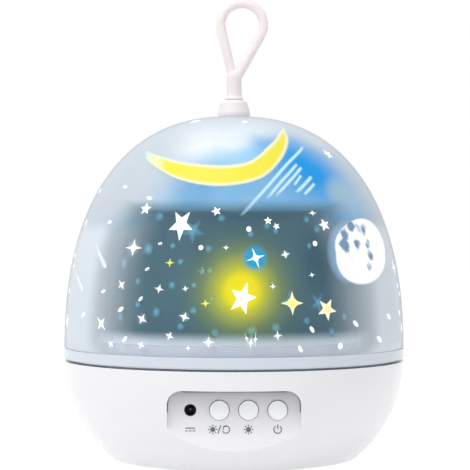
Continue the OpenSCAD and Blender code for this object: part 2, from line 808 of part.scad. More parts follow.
// The clear cap over the lights: a skirt round the post, a shoulder on the board's edge and a round top
module lamp_lens() {
    outer = post_r + 0.1 + lens_wall;
    step_z = post_top_h + led_board_t + seat_gap;
    round_z = step_z + 2;
    color([0.9, 0.95, 1, 0.6]) difference() {
        union() {
            translate([0, 0, post_top_h - lens_skirt])
                cylinder(r = outer, h = round_z - post_top_h + lens_skirt);
            translate([0, 0, round_z]) sphere(r = outer);
        }
        translate([0, 0, post_top_h - lens_skirt - over])
            cylinder(r = post_r + 0.1, h = step_z - post_top_h + lens_skirt + over);
        translate([0, 0, step_z - over]) cylinder(r = lens_inner, h = round_z - step_z + over);
        translate([0, 0, round_z]) sphere(r = lens_inner);
    }
}

// ---------- control board, buttons and socket ----------

// Puts a drawing in X and Y on the row of buttons, extruded towards the axis from a distance in front of it
module behind_panel(front, depth) {
    translate([0, -front, row_h]) rotate([-90, 0, 0]) linear_extrude(depth) children();
}

module control_board() {
    color(BOARD_GREEN) difference() {
        behind_panel(board_front, board_t) square([board_w, board_h], center = true);
        for (s = [-1, 1]) translate([s * board_hole_x, -board_front - over, row_h]) rotate([-90, 0, 0])
            cylinder(r = small_screw_r + plug_gap, h = board_t + 2 * over);
    }
}

module board_screws() {
    color(STEEL) for (s = [-1, 1]) translate([s * board_hole_x, -board_front + board_t + seat_gap, row_h])
        rotate([90, 0, 0]) screw(2, 1.3, small_screw_r, board_t + 5);
}

module tact_switches() {
    color([0.2, 0.2, 0.22]) for (x = button_xs) difference() {
        union() {
            translate([x, 0, 0]) behind_panel(switch_front, switch_t) square(switch_w, center = true);
            for (sx = [-1, 1], sz = [-1, 1])
                box_between([x + sx * 3.6 - 0.6, -board_front - 0.4, row_h + sz * 2.2 - 0.4],
                            [x + sx * 3.6 + 0.6, -board_front, row_h + sz * 2.2 + 0.4]);
        }
        translate([x, -switch_front - over, row_h]) rotate([-90, 0, 0])
            cylinder(r = plunger_r + run_gap, h = over + plunger_in + button_travel + 0.2);
    }
}

module plunger(x) {
    color([0.9, 0.9, 0.9]) translate([x, -plunger_front, row_h]) rotate([-90, 0, 0])
        cylinder(r = plunger_r, h = plunger_l);
}

// A round button: a crowned face, a flange that the panel keeps in, and a stem
module button(x) {
    front = panel_y + button_out;
    crown = 0.5;
    face_r = (button_r * button_r + crown * crown) / (2 * crown);
    color(WHITE) translate([x, 0, row_h]) rotate([90, 0, 0]) {
        translate([0, 0, panel_back - seat_gap - flange_t])
            cylinder(r = button_r + flange_extra, h = flange_t);
        intersection() {
            translate([0, 0, panel_back - seat_gap - 0.1])
                cylinder(r = button_r, h = front - panel_back + seat_gap + 0.1);
            translate([0, 0, front - face_r]) sphere(r = face_r);
        }
        translate([0, 0, stem_back]) cylinder(r = 1.6, h = stem_l + 0.1);
    }
}

jack_w = 6.6;
jack_bore_r = 1.8;
jack_bore_l = 5.8;

module dc_jack() {
    color([0.12, 0.12, 0.13]) difference() {
        translate([jack_x, 0, 0]) behind_panel(panel_back - seat_gap, panel_back - seat_gap - board_front)
            square(jack_w, center = true);
        translate([jack_x, -panel_back - over, row_h]) rotate([-90, 0, 0])
            cylinder(r = jack_bore_r, h = jack_bore_l + over);
    }
}

module dc_jack_pin() {
    color(BRASS) translate([jack_x, -panel_back + jack_bore_l, row_h]) rotate([90, 0, 0]) {
        cylinder(r = 0.65, h = 4.4);
        translate([0, 0, 4.4]) cylinder(r1 = 0.65, r2 = 0.35, h = 0.4);
    }
}

// ---------- film cartridge ----------

// Radius of the film band's middle at a height
function film_r(z) = film_low_r + (film_high_r - film_low_r) * (z - film_low) / (film_top_h - film_low);

module film_base_ring() {
    color(WHITE) rotate_extrude() difference() {
        translate([film_low_r - ring_w / 2, plate_top]) square([ring_w, base_ring_h]);
        polygon([[film_low_r - film_t / 2 - groove_gap, film_low],
                 [film_low_r + film_t / 2 + groove_gap, film_low],
                 [film_low_r + film_t / 2 + groove_gap, plate_top + base_ring_h + over],
                 [film_low_r - film_t / 2 - groove_gap - 0.3, plate_top + base_ring_h + over]]);
    }
}

module film_band() {
    low = film_low + seat_gap;
    color(NIGHT_BLUE) rotate_extrude() polygon([
        [film_r(low) - film_t / 2, low], [film_r(low) + film_t / 2, low],
        [film_high_r + film_t / 2, film_top_h], [film_high_r - film_t / 2, film_top_h]]);
}

module film_top_ring() {
    color(WHITE) difference() {
        ring(film_high_r + 1.3, cap_low_r - film_t - 1.4, top_ring_low, top_ring_low + top_ring_h);
        rotate_extrude() polygon([
            [film_r(top_ring_low - over) - film_t / 2 - groove_gap, top_ring_low - over],
            [film_r(top_ring_low - over) + film_t / 2 + groove_gap, top_ring_low - over],
            [film_high_r + film_t / 2 + groove_gap, film_top_h + seat_gap],
            [film_high_r - film_t / 2 - groove_gap, film_top_h + seat_gap]]);
        rotate_extrude() polygon([
            [cap_low_r - film_t - groove_gap - 0.1, cap_low], [cap_low_r + groove_gap, cap_low],
            [cap_low_r + groove_gap, top_ring_low + top_ring_h + over],
            [cap_low_r - film_t - groove_gap - 0.1, top_ring_low + top_ring_h + over]]);
    }
}

module film_cap() {
    steps = 18;
    cap_b = film_cap_h - cap_low - seat_gap;
    low = cap_low + seat_gap;
    color(SKY_BLUE) rotate_extrude() polygon(concat(
        egg_arc(cap_low_r, cap_b, low, 0, 90, steps),
        egg_arc(cap_low_r - film_t, cap_b - film_t, low, 90, 0, steps)));
}

// ---------- dome and loop ----------

module dome_cover() {
    steps = 44;
    outer_b = dome_top_h - widest_h;
    low = dome_low - widest_h;
    color([0.85, 0.92, 0.98, 0.4]) {
        rotate_extrude() polygon(concat(
            egg_arc(body_r, outer_b, widest_h,
                    egg_angle_at_height(low, outer_b), egg_angle_at_radius(hole_r, body_r), steps),
            egg_arc(dome_inner_r, dome_inner_b, widest_h,
                    egg_angle_at_radius(hole_r, dome_inner_r), egg_angle_at_height(low, dome_inner_b),
                    steps)));
        key_places() intersection() {
            ring(dome_inner_r + 0.4, keyring_r - lip_w + 0.2, dome_low, dome_low + lip_h - 0.4);
            box_between([0, -key_w / 2, 0], [far, key_w / 2, far]);
        }
    }
}

// The boss on top: a rounded cone with a spigot through the dome
module loop_boss() {
    low = dome_top_h;
    edge = 1.6;
    color(SILICONE) difference() {
        union() {
            rotate_extrude() {
                polygon([[0, low], [boss_r, low], [boss_r, low + 1.2], [boss_r - 0.8, low + boss_h - edge],
                         [0, low + boss_h - edge]]);
                translate([0, low + boss_h - 2 * edge]) square([boss_r - 0.8 - edge, 2 * edge]);
                intersection() {
                    translate([boss_r - 0.8 - edge, low + boss_h - edge]) circle(r = edge);
                    translate([0, low]) square([boss_r, boss_h]);
                }
            }
            translate([0, 0, low - spigot_l]) cylinder(r = spigot_r, h = spigot_l + 0.1);
        }
        translate([0, 0, low - spigot_l - over])
            cylinder(r = neck_r + run_gap, h = spigot_l + boss_h + 2 * over);
    }
}

module boss_nut() {
    high = dome_top_h - dome_wall - 0.3;
    color(WHITE) translate([0, 0, high - nut_t]) difference() {
        cylinder(r = nut_r, h = nut_t, $fn = 6);
        translate([0, 0, -over]) cylinder(r = spigot_r + seat_gap, h = nut_t + 2 * over);
    }
}

// The loop's middle line, in its own upright plane: from the fork up one side, over the top
// and down the other
function loop_path() =
    let (spread = asin(eye_r / eye_l),
         side_l = sqrt(eye_l * eye_l - eye_r * eye_r),
         foot = [for (k = [0 : 3]) k / 3 * side_l],
         arc_steps = 20)
    concat(
        [for (d = foot) [d * sin(spread), 0, d * cos(spread)]],
        [for (k = [1 : arc_steps - 1])
            let (a = -spread + (180 + 2 * spread) * k / arc_steps)
            [eye_r * cos(a), 0, eye_l + eye_r * sin(a)]],
        [for (k = [3 : -1 : 0]) [-foot[k] * sin(spread), 0, foot[k] * cos(spread)]]
    );

// The soft loop: a stem with a head under the boss, a neck, and one strand from the fork round
// the eye and back
module hanging_loop() {
    head_top = dome_top_h - spigot_l - plug_gap;
    neck_high = fork_z + 2;
    color(SILICONE) {
        translate([0, 0, head_top - head_t]) cylinder(r = head_r, h = head_t);
        translate([0, 0, head_top - 0.1]) cylinder(r = neck_r, h = neck_high - head_top + 0.1);
        translate([0, 0, neck_high]) sphere(r = neck_r);
        translate([0, 0, dome_top_h + boss_h + plug_gap]) {
            cylinder(r = neck_r + collar_out, h = 0.6);
            translate([0, 0, 0.6]) cylinder(r1 = neck_r + collar_out, r2 = neck_r - 0.01, h = 0.8);
        }
        translate([0, 0, fork_z]) rotate([0, loop_lean, 0]) tube(loop_path(), strand_r, 20, [0, 1, 0]);
    }
}

base_shell();
rubber_feet();
battery_cells();
battery_springs();
battery_plates();
battery_door();
battery_door_screws();
top_deck();
deck_screws();
rotation_motor();
motor_screws();
motor_shaft();
drive_pinion();
thrust_washer();
retaining_clip();
lamp_post();
led_board();
leds();
lamp_lens();
control_board();
board_screws();
tact_switches();
dc_jack();
dc_jack_pin();
button(button_xs[0]);  // button_mode
button(button_xs[1]);  // button_brightness
button(button_xs[2]);  // button_power
plunger(button_xs[0]);  // switch_plunger_mode
plunger(button_xs[1]);  // switch_plunger_brightness
plunger(button_xs[2]);  // switch_plunger_power
turntable();
turntable_hub();
drive_gear();
film_base_ring();
film_band();
film_top_ring();
film_cap();
dome_cover();
loop_boss();
boss_nut();
hanging_loop();
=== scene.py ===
import math
import random

import bmesh
import bpy
from bpy.props import FloatProperty, FloatVectorProperty, IntProperty, PointerProperty
from mathutils import Matrix, Vector


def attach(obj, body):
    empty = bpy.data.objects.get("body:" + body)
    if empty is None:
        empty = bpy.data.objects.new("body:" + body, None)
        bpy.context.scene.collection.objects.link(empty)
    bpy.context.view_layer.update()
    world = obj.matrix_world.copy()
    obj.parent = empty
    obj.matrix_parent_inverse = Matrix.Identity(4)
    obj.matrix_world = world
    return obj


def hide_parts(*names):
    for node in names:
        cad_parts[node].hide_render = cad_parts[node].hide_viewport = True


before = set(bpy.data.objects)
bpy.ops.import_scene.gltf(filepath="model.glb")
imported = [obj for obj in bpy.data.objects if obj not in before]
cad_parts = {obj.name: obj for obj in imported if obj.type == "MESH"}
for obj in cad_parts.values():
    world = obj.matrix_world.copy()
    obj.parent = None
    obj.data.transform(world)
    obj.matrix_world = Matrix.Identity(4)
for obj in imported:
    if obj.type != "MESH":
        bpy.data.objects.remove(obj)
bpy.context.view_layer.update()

bl_info = {
    "name": "Star night light",
    "version": (1, 0, 0),
    "blender": (4, 5, 0),
    "location": "3D View > Sidebar > Night light",
    "description": "Dresses the packed night light: clear dome, printed stars, film, loop and finishes",
    "category": "Object",
}

MM = 0.001

# The dome's outside and the film, as in the part's source, in metres
DOME_R = 0.060          # radius at the widest place
DOME_RISE = 0.085       # from the widest place to the top
DOME_Z = 0.036          # height of the widest place
DOME_POWER = 2.4        # fullness of the egg
DOME_WALL = 0.0018
DOME_EDGE_Z = 0.03955   # lower edge of the clear dome
DOME_HOLE_R = 0.0041
KEY_SIZE = (0.0022, 0.0074, 0.0031)     # thickness, width and height of the dome's keys
KEY_REACH = 0.05745                     # from the axis to a key's middle
FILM_LOW = (0.0482, 0.0392)     # radius and height of the film band's lower edge
FILM_HIGH = (0.04317, 0.0886)   # and of its upper edge
FILM_HALF = 0.0003
PANEL_Y = -0.0506
BUTTON_XS = (-0.00475, 0.00475, 0.01425)
SOCKET_X = -0.01425
RECESS_HALF = 0.0218
RECESS_TOP = 0.0287
RECESS_CORNER = 0.005
DOME_MIDDLE = Vector((0, 0, DOME_Z))
SIGN_GAP = 0.06 * MM            # from the panel to the signs' faces
SIGN_THICKNESS = 0.05 * MM
SPOT_TOP = 0.05 * MM            # height and thickness of the soft spots on the film
SPOT_THICKNESS = 0.03 * MM
HALO_THICKNESS = 0.02 * MM


# ---------------------------------------------------------------- colours and nodes

def colour(red, green, blue):
    """A colour given as 0 to 255 values, as the shader wants it."""
    def straight(value):
        value /= 255
        return value / 12.92 if value <= 0.04045 else ((value + 0.055) / 1.055) ** 2.4
    return (straight(red), straight(green), straight(blue), 1.0)


def feed(tree, node, inputs):
    """Fills a node's inputs; one that is given a socket is linked to it."""
    for key, value in inputs.items():
        if isinstance(value, bpy.types.NodeSocket):
            tree.links.new(value, node.inputs[key])
        else:
            node.inputs[key].default_value = value


def add(tree, kind, inputs=None, **options):
    """A new node with its options and inputs."""
    node = tree.nodes.new(kind)
    for key, value in options.items():
        setattr(node, key, value)
    feed(tree, node, inputs or {})
    return node


def mix_colour(tree, factor, first, second):
    return add(tree, "ShaderNodeMix", {0: factor, 6: first, 7: second}, data_type="RGBA").outputs[2]


def mix_shader(tree, factor, first, second):
    return add(tree, "ShaderNodeMixShader", {0: factor, 1: first, 2: second}).outputs[0]


def calc(tree, operation, first, second=0.0, clamp=False):
    return add(tree, "ShaderNodeMath", {0: first, 1: second}, operation=operation, use_clamp=clamp).outputs[0]


def times(tree, first, second):
    return calc(tree, "MULTIPLY", first, second)


def ramp(tree, factor, stops, blend="LINEAR"):
    """A colour ramp through (place, colour) stops."""
    node = add(tree, "ShaderNodeValToRGB", {0: factor})
    node.color_ramp.interpolation = blend
    elements = node.color_ramp.elements
    while len(elements) < len(stops):
        elements.new(0.5)
    for element, (place, tint) in zip(elements, stops):
        element.position = place
        element.color = tint
    return node.outputs[0]


def shade_ramp(tree, factor, stops, blend="LINEAR"):
    """A ramp of plain grey values."""
    return ramp(tree, factor, [(place, (grey, grey, grey, 1)) for place, grey in stops], blend)


def object_place(tree):
    return add(tree, "ShaderNodeTexCoord").outputs["Object"]


def object_axes(tree):
    return add(tree, "ShaderNodeSeparateXYZ", {0: object_place(tree)}).outputs


def distance_from(tree, place, reach):
    """0 at a place on the object, growing evenly to 1 at its reach."""
    away = add(tree, "ShaderNodeVectorMath", {0: object_place(tree), 1: place}, operation="DISTANCE")
    return calc(tree, "DIVIDE", away.outputs["Value"], reach, clamp=True)


def noise(tree, scale, detail=2.0, **sockets):
    """Noise over the object, or over the Vector that is given."""
    inputs = {"Scale": scale, "Detail": detail, **sockets}
    if "Vector" not in inputs:
        inputs["Vector"] = object_place(tree)
    return add(tree, "ShaderNodeTexNoise", inputs).outputs[0]


def new_group(name, inputs, outputs):
    """A shader node group with named sockets: (name, socket type, default)."""
    tree = bpy.data.node_groups.new(name, "ShaderNodeTree")
    for label, kind, default in inputs:
        socket = tree.interface.new_socket(name=label, in_out="INPUT", socket_type=kind)
        socket.default_value = default
    for label, kind in outputs:
        tree.interface.new_socket(name=label, in_out="OUTPUT", socket_type=kind)
    return tree, tree.nodes.new("NodeGroupInput").outputs, tree.nodes.new("NodeGroupOutput").inputs


def use_group(tree, name, inputs):
    node = tree.nodes.new("ShaderNodeGroup")
    node.node_tree = bpy.data.node_groups[name]
    feed(tree, node, inputs)
    return node.outputs


def build_groups():
    """The effects that more than one finish uses."""
    # Cloudy change of a colour over the piece
    tree, given, out = new_group("Colour drift", [
        ("Colour", "NodeSocketColor", (0.8, 0.8, 0.8, 1)), ("Shift", "NodeSocketColor", (0.7, 0.7, 0.7, 1)),
        ("Size", "NodeSocketFloat", 60.0), ("Amount", "NodeSocketFloat", 0.3)], [("Colour", "NodeSocketColor")])
    clouds = noise(tree, given["Size"], 3.0, Roughness=0.55)
    share = calc(tree, "MULTIPLY", clouds, given["Amount"], clamp=True)
    tree.links.new(mix_colour(tree, share, given["Colour"], given["Shift"]), out["Colour"])

    # Moulded or printed surface: a fine texture for bump and a roughness that varies with handling
    tree, given, out = new_group("Fine surface", [
        ("Grain", "NodeSocketFloat", 1800.0), ("Waviness", "NodeSocketFloat", 90.0),
        ("Rough", "NodeSocketFloat", 0.25), ("Smudge", "NodeSocketFloat", 0.1)],
        [("Height", "NodeSocketFloat"), ("Roughness", "NodeSocketFloat")])
    grain = noise(tree, given["Grain"])
    waves = noise(tree, given["Waviness"], 1.0)
    tree.links.new(calc(tree, "ADD", times(tree, grain, 0.25), waves), out["Height"])
    smudge = noise(tree, 35.0, 5.0, Roughness=0.65)
    spread = times(tree, calc(tree, "SUBTRACT", smudge, 0.5), given["Smudge"])
    tree.links.new(calc(tree, "ADD", spread, given["Rough"], clamp=True), out["Roughness"])

    # Fine grain between two colours
    tree, given, out = new_group("Speckle", [
        ("Colour", "NodeSocketColor", (0.8, 0.8, 0.8, 1)), ("Shift", "NodeSocketColor", (0.7, 0.7, 0.7, 1)),
        ("Size", "NodeSocketFloat", 300.0), ("Detail", "NodeSocketFloat", 2.0)], [("Colour", "NodeSocketColor")])
    grain = noise(tree, given["Size"], given["Detail"])
    tree.links.new(mix_colour(tree, grain, given["Colour"], given["Shift"]), out["Colour"])

    # A soft round spot about a place on the object
    tree, given, out = new_group("Soft spot", [
        ("Centre", "NodeSocketVector", (0, 0, 0)), ("Core", "NodeSocketFloat", 0.002),
        ("Reach", "NodeSocketFloat", 0.01)], [("Mask", "NodeSocketFloat")])
    away = add(tree, "ShaderNodeVectorMath", {0: object_place(tree), 1: given["Centre"]}, operation="DISTANCE")
    tree.links.new(smooth_step(tree, away.outputs["Value"], given["Reach"], given["Core"]), out["Mask"])

    # A soft step from 0 below one height to 1 above another
    tree, given, out = new_group("Height step", [
        ("Low", "NodeSocketFloat", 0.0), ("High", "NodeSocketFloat", 0.01)], [("Mask", "NodeSocketFloat")])
    tree.links.new(smooth_step(tree, object_axes(tree)["Z"], given["Low"], given["High"]), out["Mask"])


def smooth_step(tree, value, low, high):
    return add(tree, "ShaderNodeMapRange", {"Value": value, "From Min": low, "From Max": high},
               interpolation_type="SMOOTHSTEP").outputs[0]


def soft_spot(tree, centre, core, reach):
    return use_group(tree, "Soft spot", {"Centre": centre, "Core": core, "Reach": reach})["Mask"]


def height_step(tree, low, high):
    return use_group(tree, "Height step", {"Low": low, "High": high})["Mask"]


def drifting(tree, base, shift, size, amount):
    return use_group(tree, "Colour drift", {"Colour": base, "Shift": shift, "Size": size, "Amount": amount})["Colour"]


def fine_surface(tree, grain, waviness, rough, smudge):
    return use_group(tree, "Fine surface", {"Grain": grain, "Waviness": waviness, "Rough": rough, "Smudge": smudge})


def relief(tree, height, strength, depth=0.0001):
    return add(tree, "ShaderNodeBump", {"Height": height, "Strength": strength, "Distance": depth}).outputs[0]


def principled(tree, tone, rough, **sockets):
    """The Principled shader; its other sockets are named with _ for a space."""
    inputs = {"Base Color": tone, "Roughness": rough}
    inputs.update({key.replace("_", " "): value for key, value in sockets.items()})
    return add(tree, "ShaderNodeBsdfPrincipled", inputs).outputs[0]


def moulded(tree, tone, grain, waviness, rough, smudge, bump, depth=0.0001, **sockets):
    """A Principled shader with varied roughness and a fine bump."""
    fine = fine_surface(tree, grain, waviness, rough, smudge)
    return principled(tree, tone, fine["Roughness"], Normal=relief(tree, fine["Height"], bump, depth), **sockets)


def textured(tree, base, shift, drift=60.0, amount=0.3, rough=0.3, smudge=0.1, grain=1800.0, waviness=90.0,
             bump=0.05, depth=0.0001, **sockets):
    """The moulded shader with a colour that drifts to another."""
    return moulded(tree, drifting(tree, base, shift, drift, amount), grain, waviness, rough, smudge, bump, depth,
                   **sockets)


def glow_share(tree):
    """The glow attribute: 1 in the middle of a soft-edged print, 0 at its rim."""
    return add(tree, "ShaderNodeAttribute", attribute_name="glow").outputs["Fac"]


def speckled(tree, size, base, shift, detail=2.0):
    return use_group(tree, "Speckle", {"Colour": base, "Shift": shift, "Size": size, "Detail": detail})["Colour"]


def soft_ink(tree, tone, fade, light, rough=0.5):
    """Ink whose cover follows the glow attribute through (place, cover) stops."""
    cover = shade_ramp(tree, glow_share(tree), fade)
    return principled(tree, tone, rough, Alpha=cover, Emission_Color=tone, Emission_Strength=light)


def see_through(tree, tint=(1, 1, 1, 1)):
    return add(tree, "ShaderNodeBsdfTransparent", {"Color": tint}).outputs[0]


def make_finish(name, shader_of, *values, **more):
    """A material whose surface is what shader_of builds in its node tree."""
    material = bpy.data.materials.new(name)
    material.use_nodes = True
    tree = material.node_tree
    tree.nodes.clear()
    surface = tree.nodes.new("ShaderNodeOutputMaterial").inputs["Surface"]
    tree.links.new(shader_of(tree, *values, **more), surface)
    return material


def simple_finish(name, base, shift, **values):
    """A material that needs nothing but the textured shader."""
    return make_finish(name, textured, base, shift, **values)


def dress(material, *nodes):
    """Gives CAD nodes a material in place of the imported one."""
    for name in nodes:
        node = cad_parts[name]
        if not node.material_slots:
            node.data.materials.append(material)
        for place in node.material_slots:
            place.material = material


# ---------------------------------------------------------------- shapes

def dome_place(azimuth, height):
    """A point of the dome's outside: azimuth in degrees, 0 at the front and positive to the right."""
    share = max(0.0, 1 - ((height - DOME_Z) / DOME_RISE) ** DOME_POWER)
    radius = DOME_R * share ** (1 / DOME_POWER)
    turn = math.radians(azimuth)
    return Vector((radius * math.sin(turn), -radius * math.cos(turn), height))


def dome_normal(point):
    """The outward direction of the dome at a point of it."""
    flat = math.hypot(point.x, point.y)
    side = (flat / DOME_R) ** (DOME_POWER - 1) / DOME_R
    up = (max(point.z - DOME_Z, 0) / DOME_RISE) ** (DOME_POWER - 1) / DOME_RISE
    return Vector((point.x / flat * side, point.y / flat * side, up)).normalized()


def onto_dome(point, lift):
    """Moves a point near the dome straight away from its middle onto the surface, and out by lift."""
    arm = point - DOME_MIDDLE
    size = (math.hypot(arm.x, arm.y) / DOME_R) ** DOME_POWER + (abs(arm.z) / DOME_RISE) ** DOME_POWER
    seat = DOME_MIDDLE + arm * size ** (-1 / DOME_POWER)
    return seat + dome_normal(seat) * lift


def dome_patch(azimuth, height):
    """Middle, rightward and upward directions of the dome's surface at a place."""
    centre = dome_place(azimuth, height)
    out = dome_normal(centre)
    turn = math.radians(azimuth)
    right = Vector((math.cos(turn), math.sin(turn), 0))
    return centre, right, out.cross(right)


def film_radius(height):
    share = (height - FILM_LOW[1]) / (FILM_HIGH[1] - FILM_LOW[1])
    return FILM_LOW[0] + (FILM_HIGH[0] - FILM_LOW[0]) * share + FILM_HALF


def onto_film(point, lift):
    """Moves a point near the film band sideways onto its outside, and out by lift."""
    reach = (film_radius(point.z) + lift) / math.hypot(point.x, point.y)
    return Vector((point.x * reach, point.y * reach, point.z))


def film_patch(azimuth, height):
    turn = math.radians(azimuth)
    radius = film_radius(height)
    right = Vector((math.cos(turn), math.sin(turn), 0))
    return Vector((radius * math.sin(turn), -radius * math.cos(turn), height)), right, Vector((0, 0, 1))


def star_reach(points, waist, angle):
    """How far a straight-sided star reaches at an angle, as a share of its points' reach."""
    sector = math.pi / points
    local = abs((angle + sector) % (2 * sector) - sector)
    notch = Vector((waist * math.cos(sector), waist * math.sin(sector)))
    edge = notch - Vector((1, 0))
    ray = Vector((math.cos(local), math.sin(local)))
    return edge.y / (ray.x * edge.y - ray.y * edge.x)


def sparkle_reach(angle, power):
    """How far a four-pointed sparkle with hollow sides reaches at an angle."""
    return (abs(math.cos(angle)) ** power + abs(math.sin(angle)) ** power) ** (-1 / power)


# How full the sides of each kind of four-pointed sparkle are
SPARKLE_POWERS = {"spark4": 0.49, "tall4": 0.44, "flat4": 0.5, "spike": 0.44, "fat4": 0.56}
# How wide and how tall some of the flat shapes are against their size
STRETCH = {"spike": (0.3, 1.0), "oval": (1.5, 0.75), "dot": (0.92, 1.0), "spark4": (1.0, 0.84),
           "tall4": (0.88, 1.0), "flat4": (1.02, 0.58), "tall5": (0.86, 1.1)}


def flat_shape(bm, kind, size, turn):
    """A flat star, sparkle or dot about the origin, its points up before it is turned."""
    corners = {"star5": 20, "tall5": 20, "dot": 14, "oval": 14}.get(kind, 24)
    wide, tall = STRETCH.get(kind, (1.0, 1.0))
    made = bmesh.ops.create_circle(bm, cap_ends=True, cap_tris=True, segments=corners, radius=1.0)["verts"]
    for vert in made:
        if vert.co.length < 0.5:
            continue
        angle = math.atan2(vert.co.y, vert.co.x) - math.pi / 2
        if kind in ("star5", "tall5"):
            reach = star_reach(5, 0.42, angle)
        elif kind in SPARKLE_POWERS:
            reach = sparkle_reach(angle, SPARKLE_POWERS[kind])
        else:
            reach = 1.0
        vert.co *= reach
        vert.co.x *= wide
        vert.co.y *= tall
    spin = Matrix.Rotation(math.radians(turn), 4, "Z") @ Matrix.Scale(size, 4)
    bmesh.ops.transform(bm, matrix=spin, verts=made)
    return made


def faces_of(verts):
    return list({face for vert in verts for face in vert.link_faces})


def thicken(bm, verts, thickness):
    """Gives flat faces a thickness below them and returns all the verts."""
    grown = bmesh.ops.solidify(bm, geom=faces_of(verts), thickness=thickness)["geom"]
    return verts + [item for item in grown if isinstance(item, bmesh.types.BMVert) and item not in verts]


def wrap(verts, patch, seat, lift):
    """Lays flat verts, whose Z is their height over the surface, on a curved surface."""
    centre, right, up = patch
    for vert in verts:
        flat = vert.co.copy()
        vert.co = seat(centre + right * flat.x + up * flat.y, lift + flat.z)


def lay_on_dome(bm, verts, azimuth, height, lift, thickness):
    """Gives a flat shape a thickness and lays it on the dome; the height is in millimetres."""
    bmesh.ops.translate(bm, verts=verts, vec=(0, 0, thickness))
    wrap(thicken(bm, verts, thickness), dome_patch(azimuth, height * MM), onto_dome, lift)


def lay_on_film(bm, verts, azimuth, height, lift):
    """Lays a flat shape on the film band as a thin spot; the height is in millimetres."""
    bmesh.ops.translate(bm, verts=verts, vec=(0, 0, SPOT_TOP))
    wrap(thicken(bm, verts, SPOT_THICKNESS), film_patch(azimuth, height * MM), onto_film, lift)


def back_sheet(bm, verts, thickness, middle):
    """Turns an open sheet's faces away from a middle and gives it a thickness."""
    faces = faces_of(verts)
    bmesh.ops.recalc_face_normals(bm, faces=faces)
    if faces[0].normal.dot(faces[0].calc_center_median() - middle) < 0:
        bmesh.ops.reverse_faces(bm, faces=faces)
    bmesh.ops.solidify(bm, geom=faces, thickness=thickness)


def glowing_mesh():
    """A new bmesh and its glow layer, which holds the fade of soft-edged prints."""
    bm = bmesh.new()
    return bm, bm.verts.layers.float.new("glow")


def disc(bm, radius, rings, segments, glow):
    """A flat disc of rings, with 1 in its middle and 0 at its rim in the glow layer."""
    made = bmesh.ops.create_grid(bm, x_segments=segments, y_segments=rings, size=0.5)["verts"]
    for vert in made:
        turn = (vert.co.x + 0.5) * 2 * math.pi
        share = vert.co.y + 0.5
        vert.co = Vector((math.cos(turn), math.sin(turn), 0)) * radius * share
        vert[glow] = 1 - share
    bmesh.ops.remove_doubles(bm, verts=made, dist=radius * 0.002)
    return [vert for vert in made if vert.is_valid]


def finish_piece(name, bm, material, body, replaces=(), smooth=True):
    """Turns a bmesh into a piece that rides on a body."""
    bmesh.ops.recalc_face_normals(bm, faces=bm.faces)
    mesh = bpy.data.meshes.new(name)
    bm.to_mesh(mesh)
    bm.free()
    mesh.materials.append(material)
    mesh.polygons.foreach_set("use_smooth", [smooth] * len(mesh.polygons))
    piece = bpy.data.objects.new(name, mesh)
    bpy.context.scene.collection.objects.link(piece)
    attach(piece, body)
    if replaces:
        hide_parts(*replaces)


# ---------------------------------------------------------------- settings

class ShellSettings(bpy.types.PropertyGroup):
    white: FloatVectorProperty(name="Plastic white", description="Colour of the base's plastic", subtype="COLOR",
                               size=4, min=0, max=1, default=colour(231, 231, 234))
    rim: FloatVectorProperty(name="Rim blue", description="Colour of the turning rim", subtype="COLOR",
                             size=4, min=0, max=1, default=colour(203, 211, 222))
    rough: FloatProperty(name="Roughness", description="Roughness of the white plastic", default=0.24, min=0, max=1)


class DomeSettings(bpy.types.PropertyGroup):
    frost: FloatVectorProperty(name="Frost", description="Milky tint of the clear dome", subtype="COLOR",
                               size=4, min=0, max=1, default=colour(210, 219, 227))
    sky: FloatVectorProperty(name="Sky", description="Blue of the dome's upper part", subtype="COLOR",
                             size=4, min=0, max=1, default=colour(120, 176, 216))
    steps: IntProperty(name="Steps round", description="Faces round the dome", default=128, min=24, max=256)


class FilmSettings(bpy.types.PropertyGroup):
    night: FloatVectorProperty(name="Night", description="Dark colour of the film band", subtype="COLOR",
                               size=4, min=0, max=1, default=colour(50, 86, 98))
    ghost_lift: FloatProperty(name="Spot height", description="Height of the blurred spots over the film",
                              default=0.05 * MM, min=0, unit="LENGTH")


class PrintSettings(bpy.types.PropertyGroup):
    thickness: FloatProperty(name="Print thickness", description="Thickness of the printed stars",
                             default=0.1 * MM, min=0.01 * MM, unit="LENGTH")
    lift: FloatProperty(name="Print height", description="Gap between the dome and the prints",
                        default=0.03 * MM, min=0, unit="LENGTH")
    seed: IntProperty(name="Seed", description="Seed of the stars round the sides and the back", default=7)
    count: IntProperty(name="More stars", description="Number of stars round the sides and the back",
                       default=150, min=0)


class PanelSettings(bpy.types.PropertyGroup):
    ink: FloatVectorProperty(name="Ink", description="Colour of the signs under the buttons", subtype="COLOR",
                             size=4, min=0, max=1, default=colour(96, 98, 102))
    line: FloatProperty(name="Line width", description="Width of the signs' lines", default=0.32 * MM,
                        min=0.1 * MM, unit="LENGTH")
    height: FloatProperty(name="Row height", description="Height of the row of signs above the table",
                          default=15.6 * MM, unit="LENGTH")


class LoopSettings(bpy.types.PropertyGroup):
    tint: FloatVectorProperty(name="Silicone", description="Colour of the soft loop", subtype="COLOR",
                              size=4, min=0, max=1, default=colour(238, 231, 232))
    voxel: FloatProperty(name="Cell size", description="Cell size of the loop's smoothed skin",
                         default=0.3 * MM, min=0.1 * MM, unit="LENGTH")


class StageSettings(bpy.types.PropertyGroup):
    eye: FloatVectorProperty(name="Camera", description="Place of the camera", subtype="TRANSLATION", size=3,
                             default=(0.35 * MM, -617 * MM, 79 * MM))
    lens: FloatProperty(name="Lens", description="Focal length in millimetres", default=133.12, min=10)
    key: FloatProperty(name="Key light", description="Power of the main softbox in watts", default=9.0, min=0)
    world: FloatProperty(name="Room light", description="Strength of the even light", default=0.52, min=0)


def settings(name):
    return getattr(bpy.context.scene, "night_light_" + name)


# ---------------------------------------------------------------- the base and what is in it

